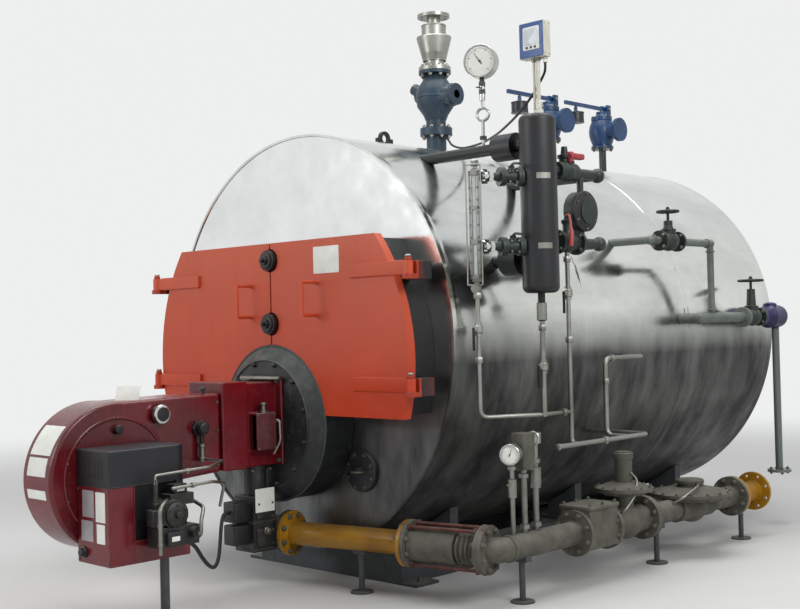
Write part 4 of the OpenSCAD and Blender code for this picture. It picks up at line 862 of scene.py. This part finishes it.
def dial(place, radius, name, tickCount=27, pointer=35, turnZ=22):
    # dial card, bezel, ticks and pointer of a round gauge that faces -Y, turned about Z
    x, y, z = place
    rim = lathe(place, forward, [(0, radius), (4, radius + 1), (8, radius + 1), (10, radius - 1),
                                 (10, radius - 5), (4, radius - 7), (0, radius - 7)], 64, True)
    a = np.radians(np.linspace(-45, 225, tickCount))
    big = np.arange(tickCount) % 5 == 0
    inner = radius * np.where(big, 0.66, 0.74)
    inEnd, outEnd = [np.stack([x + r * np.cos(a), np.full(tickCount, y - 4.4), z + r * np.sin(a)], -1)
                     for r in (inner, np.full(tickCount, radius * 0.8))]
    across = np.stack([-np.sin(a), 0 * a, np.cos(a)], -1) * (radius * 0.012) * np.where(big, 1.6, 1)[:, None]
    ticks = np.stack([inEnd - across, inEnd + across, outEnd + across, outEnd - across], 1).reshape(-1, 3)
    tickShape = (ticks, np.arange(tickCount * 4).reshape(-1, 4)[:, ::-1], [])
    p = math.radians(90 + pointer)
    tip = np.array((math.cos(p), 0, math.sin(p))) * radius
    wide = np.array((-math.sin(p), 0, math.cos(p))) * radius * 0.035
    middle = np.array((x, y - 5.5, z))
    tail, point = middle - tip * 0.22, middle + tip * 0.7
    needle = (np.array([tail - wide, tail + wide, point + wide * 0.15, point - wide * 0.15]),
              np.array([[3, 2, 1, 0]]), [])
    hub = lathe((x, y - 3, z), forward, [(0, radius * 0.07), (3, radius * 0.07), (4, radius * 0.04)], 20)
    card = lathe(place, forward, [(-2, radius - 5), (3.6, radius - 5), (3.8, radius - 6)], 64)
    for part, shape, finish in (("rim", rim, "gauge_case"), ("card", card, "dial_card"),
                                ("marks", merge([tickShape, needle, hub]), "dial_black")):
        piece(name + "_" + part, turned(shape, turnZ, place), finish)


gaugeX, gaugeY, gaugeZ = 925, -1110, 2525
facing = np.array((math.sin(math.radians(22)), -math.cos(math.radians(22)), 0))
dial((gaugeX, gaugeY, gaugeZ) + facing * 25, 80, "steam_gauge")
dial((gasX, riserY[0], 674) + facing * 22, 47, "gas_gauge", 21, -20)
dial((gasX, riserY[2], 734) + facing * 31, 34, "gas_small_gauge", 21, 15)
nuts = [lathe((gasX, riserY[k], z), upward, [(0, r), (depth, r), (depth + 2, tip)], 6)
        for k, r, depth, tip, heights in ((0, 20, 16, 16, (500, 545, 604)), (1, 24, 18, 18, (330, 560)),
                                          (2, 26, 18, 20, (330, 505, 620))) for z in heights]
cockHandle = block((gasX - 8, riserY[0] - 35, 535), (gasX + 8, riserY[0] + 25, 541), 3, 2, 2)
piece("gas_riser_nuts", [*nuts, cockHandle], "steel_fitting")
switch = block((gasX - 37, riserY[1] - 43, 598), (gasX + 37, riserY[1] + 43, 764), 8, 4, 2)
switchGland = lathe((gasX, riserY[1] + 43, 640), rearward, [(0, 12), (22, 12), (24, 9)], 12)
piece("gas_switch_cover", [switch, switchGland], "dusty_cream")
switchAt = [(gasX + 37, riserY[1] + y, z) for y in (-32, 32) for z in (612, 750)]
piece("gas_switch_screws", scatter(boltHead(4.5), switchAt, rightward), "zinc_bolts")
print("gas train done")


# Level column: jacket straps, tags, flanged cocks, sight glass, valves, switch, display, gauge siphon

cx, cy = 1250, -1110
columnR = 86
cockZ = (1615, 1935)
eased("level_chamber", 0, "black_insulation")
eased("level_branches", 14, "black_insulation", 4)
eased("level_cocks", 1.5, "green_cast")
eased("level_valves", 2, "green_cast")
strap = [(0, columnR + 0.2), (0, columnR + 1.2), (22, columnR + 1.2), (22, columnR + 0.2)]
piece("column_straps", [lathe((cx, cy, z - 11), upward, strap, 64) for z in cockZ], "black_insulation")


def bentPlate(middle, wide, z0, z1, r):
    # plate that follows the column round its axis
    a = np.radians(np.linspace(middle - wide, middle + wide, 12))
    rise = np.array([0.3, 2.2, 2.2, 0.3])
    zz = np.array([z0, z0 + 0.6, z1 - 0.6, z1])
    aa, z = np.meshgrid(a, zz, indexing="ij")
    radius = r + np.broadcast_to(rise, aa.shape)
    points = np.stack([cx + radius * np.cos(aa), cy + radius * np.sin(aa), z], -1)
    return points.reshape(-1, 3), gridFaces(len(a), 4, False, False), []


piece("column_tags", [bentPlate(-36, 22, z - 15, z + 13, columnR + 1) for z in cockZ], "steel_fitting")

# Cocks between the column and the sight glass; s is the way from the column's axis towards the glass
sight = np.array((1100, -1388, 0.0))
toColumn = np.array((cx - sight[0], cy - sight[1], 0))
reach = np.linalg.norm(toColumn)
toColumn /= reach
acrossSight = np.array((-toColumn[1], toColumn[0], 0))


def onCock(s, z):
    return np.array((cx, cy, z)) - toColumn * s


cockParts, cockBolts, chromeParts = [], [], []
cockFlange = [(0, 43), (2, 44.5), (12, 44.5), (14, 43)]
for z in cockZ:
    for s, lead in ((98, -14), (170, 14)):
        cockBolts.append(boltRing(onCock(s + 14, z), -toColumn, 34, 4, 8, 28))
        cockParts.append(lathe(onCock(s + lead, z), -toColumn, cockFlange, 40))
    bonnet = [(0, 24), (14, 22), (18, 15), (30, 15), (32, 12)]
    cockParts.append(lathe(onCock(134, z) + (0, 0, 20), upward, bonnet, 24))
    cockParts.append(lathe(onCock(186, z), -toColumn, [(0, 26), (10, 26), (22, 20), (34, 18)], 32))
    union = [(-30, 16), (-26, 27), (-8, 27), (-4, 20), (8, 20), (10, 26), (26, 26), (29, 20)]
    chromeParts.append(lathe(onCock(reach - 58, z), -toColumn, union, 6))
    stem = [(0, 11), (3, 14), (60, 14), (64, 19), (76, 19), (78, 12)]
    chromeParts.append(lathe(onCock(reach - 48, z) - acrossSight * 34, acrossSight, stem, 20))
    chromeParts.append(torus(onCock(reach - 30, z) + (0, 0, 26), (0.3, 0.2, 1), 20, 5, 24))
    lever = curvedPath([onCock(134, z) + (0, 0, 52), onCock(134, z) + (0, 0, 58) - acrossSight * 30,
                        onCock(130, z) + (0, 0, 50) - acrossSight * 92], 6)
    cockParts.append(sweep(lever, 6, 10))
piece("cock_bolts", cockBolts, "zinc_bolts")
piece("cock_bodies", cockParts, "green_cast")
piece("cock_chrome", chromeParts, "chrome_trim")

# Reflex sight glass, drawn facing -Y at the origin: body, cover frame with bolts, plugs, pane, guard
low, high = 1455, 1970
body = block((-19, -15, low), (19, 15, high), 5, 3, 2)
frameBars = [block((x0, -25, low + 12), (x1, -13, high - 12), 4, 2, 2) for x0, x1 in ((-25, -10), (10, 25))]
crossBars = [block((-25, -25, z), (25, -13, z + 20), 4, 2, 2) for z in np.linspace(low + 12, high - 32, 4)]
plugs = [lathe((0, 0, z), upward, [(0, 13), (4, 20), (26, 20), (30, 15)], 6) for z in (low - 40, high + 10)]
stem = lathe((0, 0, low - 45), upward, [(0, 12), (600, 12)], 24)
valveStem = lathe((0, 0, low - 31), forward, [(0, 10), (34, 10), (36, 20), (46, 20), (48, 12)], 20)
boltAt = [(x, -25, z) for x in (-18, 18) for z in np.linspace(low + 30, high - 30, 9)]
guard = [sweep([(x, -34, low - 15), (x, -34, high + 15)], 3.5, 8) for x in (-34, 34)]
guard += [sweep([(-34, -34, z), (34, -34, z)], 3.5, 8) for z in (low - 15, high + 15)]
guard += [sweep([(0, -34, z), (0, 0, z)], 4, 8) for z in (low - 15, high + 15)]


def atSight(shape):
    return moved(turned(shape, 28), sight)


piece("sight_body", atSight(merge([body, *frameBars, *crossBars, *plugs, stem, valveStem])), "steel_fitting",
      replaced=("sight_glass",))
piece("sight_bolts", atSight(scatter(boltHead(6), boltAt, forward)), "zinc_bolts")
piece("sight_pane", atSight(block((-10, -19, low + 20), (10, -14, high - 20), 4, 1, 2)), "display_window")
piece("sight_guard", atSight(merge(guard)), "steel_fitting")

# Valves behind the column and the round level switch, drawn about the valves' upright axis
behind = (cx, cy + 205, 0)
rearBolts = [boltRing((0, s * 87, 1640), (0, s, 0), 46, 4, 10, 18) for s in (-1, 1)]
rearBodies = [
    lathe((0, -62, 1640), rearward, [(0, 26), (20, 34), (45, 48), (79, 48), (104, 34), (124, 26)], 40),
    lathe((0, -62, 1975), rearward, [(0, 26), (18, 36), (42, 50), (82, 50), (106, 36), (124, 26)], 40),
    lathe((0, 0, 1975), upward, [(0, 30), (62, 26), (66, 34), (80, 34), (84, 18), (120, 14)], 32),
    lathe((0, 0, 1728), upward, [(0, 20), (6, 24), (18, 24), (22, 12), (40, 9)], 24)]
switchCase = lathe((12, 120, 1792), rightward, [(0, 96), (8, 98), (18, 98), (22, 94), (24, 80), (34, 60)], 56)
topLever = [block((16, -14, 2034), (54, 92, 2062), 9, 6, 1),
            lathe((36, 0, 2020), upward, [(0, 15), (44, 15), (48, 10)], 20)]
leverPath = curvedPath([(0, 0, 1768), (26, -8, 1764), (62, -46, 1690), (66, -58, 1618)], 6)
sideLever = sweep(leverPath, np.concatenate([np.full(12, 6), np.full(7, 12)]))
switchBolts = boltRing((34, 120, 1792), rightward, 84, 6, 7)
switchFilm = block((45.5, 92, 1800), (47, 136, 1828), 3, 0.6, 0)
for name, shapes, finish in (("rear_valve_bolts", rearBolts, "zinc_bolts"),
                             ("rear_valve_bodies", rearBodies, "green_cast"),
                             ("level_switch_case", [switchCase], "black_rubber"),
                             ("rear_valve_top_lever", topLever, "red_grip"),
                             ("rear_valve_lever", [sideLever], "red_grip"),
                             ("level_switch_bolts", [switchBolts], "zinc_bolts"),
                             ("level_switch_film", [switchFilm], "blank_film")):
    piece(name, moved(merge(shapes), behind), finish)

# Probe display: pale box with a blue frame, bezel, window and keys, and the probe's head under it
eased("level_display", 6, "cream_plastic", 3)
x0, x1, y0, y1, z0, z1 = 1180, 1320, -1136, -1084, 2487, 2652
for name, side, front, back, base, top, corner, edge, finish in (
        ("frame", 1, 3, 16, 1, 1, 9, 3, "frame_blue"), ("bezel", 23, 4.5, 1, 36, 22, 6, 1.5, "blank_film"),
        ("screen", 30, 6, -1, 58, 30, 3, 1, "display_window")):
    piece("display_" + name, block((x0 + side, y0 - front, z0 + base), (x1 - side, y0 + back, z1 - top),
                                   corner, edge, 1), finish)
keys = [lathe((x0 + 46 + 24 * k, y0 - 4.5, z0 + 47), forward, [(0, 6), (1.5, 6), (2.2, 5)], 16)
        for k in range(3)]
piece("display_keys", keys, "dial_black")
gland = lathe((1296, -1096, z0 + 1), downward, [(0, 13), (8, 13), (10, 11), (24, 11), (27, 8)], 6)
probeHead = [lathe((cx + 14, cy, 2225), upward, [(0, 24), (20, 24), (23, 16), (60, 16), (64, 12)], 6),
             lathe((cx + 2, cy, 2470), upward, [(0, 18), (14, 30), (17, 30)], 24)]
piece("display_gland", [gland, *probeHead], "steel_fitting")
screwAt = [(x1, y, z) for y in (y0 + 10, y1 - 10) for z in (z0 + 12, z1 - 12)]
piece("display_screws", scatter(boltHead(4), screwAt, rightward), "chrome_trim")

# Steam gauge on its siphon
eased("pressure_gauge", 1.5, "gauge_case")
siphon = [lathe((gaugeX, gaugeY, z), upward, profile, 6) for z, profile in (
    (2370, [(0, 17), (22, 17), (24, 13), (36, 13), (38, 17), (58, 17)]),
    (2150, [(0, 18), (16, 18), (18, 14)]), (2425, [(0, 13), (18, 13), (21, 10)]))]
cockKey = block((gaugeX - 8, gaugeY - 40, 2397), (gaugeX + 8, gaugeY - 8, 2402), 3, 2, 1)
piece("gauge_cock", [*siphon, cockKey], "green_cast")
print("level column done")


# Drains: bent tube runs with unions and small valves

sx, sy = 1100, -1388
rearX, rearY, headerX, headerZ, shellDrainX = 1250, -905, 1300, 690, 1170
drainRuns = [
    ([(sx, sy, 1415), (sx, sy, 840), (cx, cy, 840), (rearX, rearY, 840)], 10),
    ([(cx, cy, 1360), (cx, cy, 830)], 12),
    ([(rearX, rearY, 1600), (rearX, rearY, headerZ), (headerX, rearY, headerZ)], 11),
    ([(headerX, -1070, headerZ), (headerX, -330, headerZ), (790, -330, headerZ)], 12),
    ([(980, -150, 1075), (shellDrainX, -150, 1075), (shellDrainX, -500, 1075), (shellDrainX, -500, headerZ),
      (headerX, -500, headerZ)], 12.5)]
drains = [pipe(points, r, 42, 16) for points, r in drainRuns]
drains.append(lathe((cx, cy, 1270), upward, [(0, 14), (6, 24), (84, 24), (90, 14)], 28))
piece("drain_tubes", drains, "steel_fitting", replaced=("drain_pipes",))
unionAt = [(sx, sy, 1392), (sx, sy, 1100), (cx, cy, 1240), (rearX, rearY, 1560), (rearX, rearY, 1180),
           (rearX, -960, 840), (headerX, -700, headerZ), (shellDrainX, -440, 1075), (shellDrainX, -500, 960)]
unionAlong = [upward] * 5 + [rearward] * 3 + [upward]
nut = lathe((0, 0, -14), upward, [(0, 17), (3, 19), (25, 19), (28, 17)], 6)
headerCap = lathe((headerX, -1070, headerZ), forward, [(0, 17), (14, 17), (16, 12)], 6)
piece("drain_unions", [scatter(nut, unionAt, unionAlong), headerCap], "steel_fitting")
cockAt = [(sx, sy, 1240), (cx, cy, 1060), (rearX, rearY, 1400)]
cockBody = merge([lathe((0, 0, -32), upward, [(0, 16), (12, 16), (18, 22), (46, 22), (52, 16), (64, 16)], 20),
                  lathe(origin, forward, [(0, 12), (30, 12), (33, 9)], 16)])
piece("drain_cocks", [moved(cockBody, place) for place in cockAt], "steel_fitting")
cockLever = block((-7, -36, -96), (7, -31, 8), 4, 2, 2)
piece("drain_cock_levers", [moved(cockLever, place) for place in cockAt], "dial_black")


# Crown: steam valve, outlet, safety valves and their levers

eased("steam_valve", 3, "teal_cast", 3)
eased("steam_outlet", 1.5, "steel_fitting")
eased("safety_valves", 3, "blue_enamel", 3)
eased("safety_lever_front", 2.5, "lever_enamel", 3)
eased("safety_lever_rear", 2.5, "lever_enamel", 3)
steamBolts = [boltRing((0, steamY, z), upward, 75, 8, 14, through) for z, through in ((2394, 44), (2745, 40))]
piece("steam_flange_bolts", steamBolts, "zinc_bolts")
valveAt = np.array((0, steamY, 2570))
globe = [(-130, 60), (-100, 72), (-50, 106), (0, 112), (50, 106), (100, 72), (132, 60)]
bonnetAxis = np.array((-math.sin(math.radians(60)), 0, math.cos(math.radians(60))))
bonnetAt = valveAt - (0, 0, 20)
bonnet = [(90, 60), (104, 62), (118, 62), (120, 50), (128, 50), (130, 36), (176, 30), (190, 22)]
valveBody = [lathe(valveAt, upward, globe, 64),
             lathe(valveAt + (60, 0, 0), rightward, [(0, 66), (70, 66), (84, 60), (98, 44), (105, 24)]),
             torus(valveAt, upward, 111, 5, 64), lathe(bonnetAt, bonnetAxis, bonnet, 40)]
piece("steam_valve_body", valveBody, "teal_cast")
bonnetBolts = boltRing(bonnetAt + bonnetAxis * 118, bonnetAxis, 52, 6, 9)
endBolts = boltRing(valveAt + (130, 0, 0), rightward, 58, 6, 9)
piece("steam_bonnet_bolts", [bonnetBolts, endBolts], "zinc_bolts")
cone = lathe((0, steamY, 2780), upward, [(0, 67), (6, 67), (130, 100), (136, 101), (140, 99), (142, 71)], 64)
jacketBands = [torus((0, steamY, z), upward, 70, 3, 56) for z in (2925, 2984)]
piece("outlet_jacket_trim", [cone, *jacketBands], "steel_fitting")

# Each safety valve is drawn about its own foot on the neck and then moved there
valveDome = [lathe(origin, upward, [(6, 60), (30, 70), (70, 84), (110, 88), (150, 80), (184, 64), (200, 58)]),
             lathe((0, 0, 206), upward, [(0, 44), (6, 44), (14, 38), (34, 36), (38, 22)], 40)]
valveBolts = [boltRing((0, 0, 8), upward, 58, 4, 11, 22), boltRing((0, 0, 206), upward, 58, 6, 9),
              boltRing((128, 0, 105), leftward, 62, 4, 11)]
spindle = lathe((0, 0, 236), upward, [(0, 12), (6, 12), (8, 9.5), (12.5, 9.5)], 16)
pinEnds = [lathe((side * 30, 48, 262), (side, 0, 0), [(0, 12), (5, 12), (7, 9)], 16) for side in (-1, 1)]
weightTrim = [torus((0, -293, z), upward, 52.5, 3) for z in (204, 140)]
weightTrim.append(lathe((0, -293, 207), upward, [(0, 24), (8, 20), (12, 12), (36, 12)], 24))
for end, y in safetyY.items():
    for name, shapes, finish, body in (("bolts", valveBolts, "zinc_bolts", "boiler"),
                                       ("body", valveDome, "blue_enamel", "boiler"),
                                       ("spindle", [spindle], "steel_fitting", "boiler"),
                                       ("pins", pinEnds, "zinc_bolts", "boiler"),
                                       ("weight_trim", weightTrim, "lever_enamel", "safety_lever_" + end)):
        piece("safety_" + name + "_" + end, moved(merge(shapes), (0, y, 2430)), finish, body)
print("crown done")


# Feed line: pipes, globe valves, handwheels, check valve

eased("feed_valves", 2, "green_cast")
eased("feed_pipes", 1, "grey_pipe")
eased("check_valve", 3, "violet_enamel", 3)
feedX = 1170
feedValves = {"upper": (125, 1685, 110, 62), "lower": (1019, 1265, 165, 76)}
globe = [(0, 30), (18, 34), (44, 50), (74, 54), (104, 50), (130, 34), (148, 30)]
for name, (y, z, rise, wheelR) in feedValves.items():
    cover = [(0, 41), (5, 42), (11, 41), (13, 28), (rise - 80, 24), (rise - 76, 20), (rise - 60, 17.5)]
    body = [lathe((feedX, y - 74, z), rearward, globe, 40), lathe((feedX, y, z + 54), upward, cover, 36)]
    bolts = [boltRing((feedX, y + s * 96, z), (0, s, 0), 43, 4, 10, 16) for s in (-1, 1)]
    bolts.append(boltRing((feedX, y, z + 56), upward, 33, 4, 8))
    piece("feed_globe_" + name, body, "green_cast")
    piece("feed_bolts_" + name, bolts, "zinc_bolts")
    eased("handwheel_" + name, 1, "black_steel")
    rim = [torus((feedX, y, z + rise + 50), upward, wheelR - 6.5, 7.4, 56, 12),
           lathe((feedX, y, z + rise + 60), upward, [(0, 13), (6, 13), (8, 9), (14, 9), (16, 6)], 6)]
    piece("handwheel_rim_" + name, rim, "black_steel", "handwheel_" + name)
elbows = [torus((feedX, y, z), direction, 23, 4, 28) for y, z, direction in (
    (560, 1640, upward), (520, 1685, rearward), (560, 1310, upward), (-20, 1685, rearward))]
piece("feed_weld_beads", elbows, "grey_pipe")
checkBolts = [boltRing((feedX, 1345, 1265), rearward, 52, 6, 11),
              boltRing((feedX, 1310, 336), upward, 50, 4, 11, 16)]
piece("check_valve_bolts", checkBolts, "zinc_bolts")
checkBody = [(0, 34), (24, 40), (60, 62), (70, 70), (78, 70), (80, 66), (170, 66.5), (186, 68), (194, 66)]
checkCap = [(0, 40), (20, 40), (24, 34), (30, 18)]
piece("check_valve_body", [lathe((feedX, 1150, 1265), rearward, checkBody),
                           lathe((feedX, 1250, 1320), upward, checkCap, 32)], "violet_enamel")


# Leads that the boiler holds at both ends

displayPath = [(1296, -1096, 2487), (1296, -1096, 2462), (1280, -1080, 2424), (1240, -1066, 2384),
               (1177, -1046, 2333), (1054, -992, 2274), (853, -879, 2229), (700, -793, 2212),
               (560, -713, 2210), (339, -588, 2227), (190, -503, 2266), (130, -470, 2305),
               (95, -450.1, 2326), (76, -446.1, 2330), (56.1, -441.9, 2330)]
# the burner's lead: ends, then share of the way in X and in Y, and mm of sag, at each point
burnerEnds = np.array([(300, -2465, 350), (-0.9, -1977, 385)])
burnerSag = np.array([(0, 0, 0), (0, 0.059, 2.1), (0.044, 0.166, 43.8), (0.137, 0.289, 112.1),
                      (0.281, 0.428, 165), (0.468, 0.572, 188), (0.671, 0.707, 170.7), (0.858, 0.818, 116.6),
                      (0.961, 0.883, 50.9), (1, 0.928, 8.5), (1, 0.965, -1.2), (1, 1, 0)])
burnerPath = burnerEnds[0] + burnerSag[:, [0, 1, 1]] * (burnerEnds[1] - burnerEnds[0])
burnerPath[:, 2] -= burnerSag[:, 2]
leads = [sweep(curvedPath(displayPath), 6), sweep(curvedPath(burnerPath), 9),
         lathe((300, -2464, 350), rearward, [(0, 16), (10, 16), (12, 12), (26, 12)], 6),
         lathe((62, -443, 2330), rightward, [(-6, 11), (10, 11), (14, 8)], 6)]
piece("signal_leads", leads, "black_rubber", replaced=("cables",))
print("feed line and leads done")


# Studio: round pale floor that curves up into a wall, soft lamps

def studioFloor(flat, bend, height):
    # flat disc, quarter circle and straight wall in metres, turned round the vertical axis, seen from inside
    t = np.linspace(0, np.pi / 2, 16)
    r = np.concatenate([[0.01, flat * 0.3, flat * 0.6], flat + bend * np.sin(t), [flat + bend]]) * 1000
    z = np.concatenate([[0, 0, 0], bend * (1 - np.cos(t)), [height]]) * 1000
    points, quads, caps = lathe(origin, upward, np.stack([z, r], 1), 96)
    return points, quads[:, ::-1], [caps[0][::-1]]


def seenDirectly(tree):
    # 1 for the camera, in reflections and through glass, and 0 for light that falls on things
    seen = 0.0
    for ray in ("Is Camera Ray", "Is Glossy Ray", "Is Transmission Ray"):
        path = addNode(tree, "ShaderNodeLightPath", out=ray)
        seen = addNode(tree, "ShaderNodeMath", {0: path, 1: seen}, operation="MAXIMUM")
    return seen


# matt photographer's paper: pale near the object, and plain white light far from it where it is seen
paperTree, paperShader, paperPlace = newMaterial("studio_paper")
paperTone = mottling(paperTree, paperPlace, {"paper": (1500, (1, 1, 1), 5, 0.3, 0.7)})["paper"]
paperColour = addNode(paperTree, "ShaderNodeMix", {0: paperTone, 6: "#d8d8d6", 7: "#d2d2d0"}, 2,
                      data_type="RGBA")
paperTree.links.new(paperColour, paperShader.inputs["Base Color"])
paperShader.inputs["Roughness"].default_value = 0.85
seen = seenDirectly(paperTree)
away = addNode(paperTree, "ShaderNodeVectorMath", {0: paperPlace}, "Value", operation="LENGTH")
far = addNode(paperTree, "ShaderNodeMapRange", {"Value": away, "From Min": 3.2, "From Max": 9.5,
                                                "To Max": 0.97}, interpolation_type="SMOOTHSTEP")
glow = addNode(paperTree, "ShaderNodeEmission", {"Color": "#f0f1f1", "Strength": 1.0})
share = addNode(paperTree, "ShaderNodeMath", {0: seen, 1: far}, operation="MULTIPLY")
mixed = addNode(paperTree, "ShaderNodeMixShader", {0: share, 1: paperShader.outputs[0], 2: glow})
paperTree.links.new(mixed, paperTree.nodes["Material Output"].inputs["Surface"])

paper = meshOf("studio_sweep", studioFloor(11, 3, 9))
paper.shade_smooth()
paper.materials.append(looks["studio_paper"])
backdrop = bpy.data.objects.new("studio_sweep", paper)
bpy.context.collection.objects.link(backdrop)

# name: place, what it points at, width, depth, watts
lamps = {"crown": ((0.5, -0.5, 6.8), (0, 0, 1.0), 6.0, 3.4, 300),
         "key": ((6.2, -2.0, 4.6), (0.4, -0.4, 1.2), 3.0, 2.4, 180),
         "front": ((-2.6, -8.0, 3.6), (0, -1.5, 1.0), 3.2, 2.6, 150)}
for name, (place, target, width, depth, power) in lamps.items():
    lamp = bpy.data.objects.new(name + "_lamp", bpy.data.lights.new(name + "_lamp", "AREA"))
    lamp.data.shape, lamp.data.size, lamp.data.size_y, lamp.data.energy = "RECTANGLE", width, depth, power
    lamp.location = place
    lamp.rotation_mode = "QUATERNION"
    lamp.rotation_quaternion = (Vector(target) - Vector(place)).to_track_quat("-Z", "Y")
    bpy.context.collection.objects.link(lamp)

world = bpy.data.worlds.new("studio")
world.use_nodes = True
sky = world.node_tree.nodes["Background"]
sky.inputs["Color"].default_value = linear("#e6e9ec")
skyLight = addNode(world.node_tree, "ShaderNodeMapRange", {"Value": seenDirectly(world.node_tree),
                                                           "To Min": 0.5, "To Max": 1.0})
world.node_tree.links.new(skyLight, sky.inputs["Strength"])
bpy.context.scene.world = world
bpy.context.scene.view_settings.view_transform = "Standard"
print("studio done")


# Camera at the photograph's place: metres, degrees and mm

view = {"place": (4.650, -5.536, 1.270), "yaw": 44.26, "pitch": -0.96, "roll": -1.41, "lens": 54.05}


def makeCamera():
    # axes of the camera from its three angles, then turned round its own line of sight
    a, e, r = (math.radians(view[k]) for k in ("yaw", "pitch", "roll"))
    back = Vector((math.sin(a) * math.cos(e), -math.cos(a) * math.cos(e), math.sin(e)))
    right = Vector((math.cos(a), math.sin(a), 0))
    up = back.cross(right)
    tiltedRight = math.cos(r) * right + math.sin(r) * up
    tiltedUp = math.cos(r) * up - math.sin(r) * right
    axes = Matrix((tiltedRight, tiltedUp, back)).transposed().to_4x4()
    camera = bpy.data.objects.new("photo_camera", bpy.data.cameras.new("photo_camera"))
    camera.matrix_world = Matrix.Translation(view["place"]) @ axes
    camera.data.lens = view["lens"]
    camera.data.sensor_width = 36
    bpy.context.collection.objects.link(camera)
    bpy.context.scene.camera = camera


makeCamera()
print("camera placed")
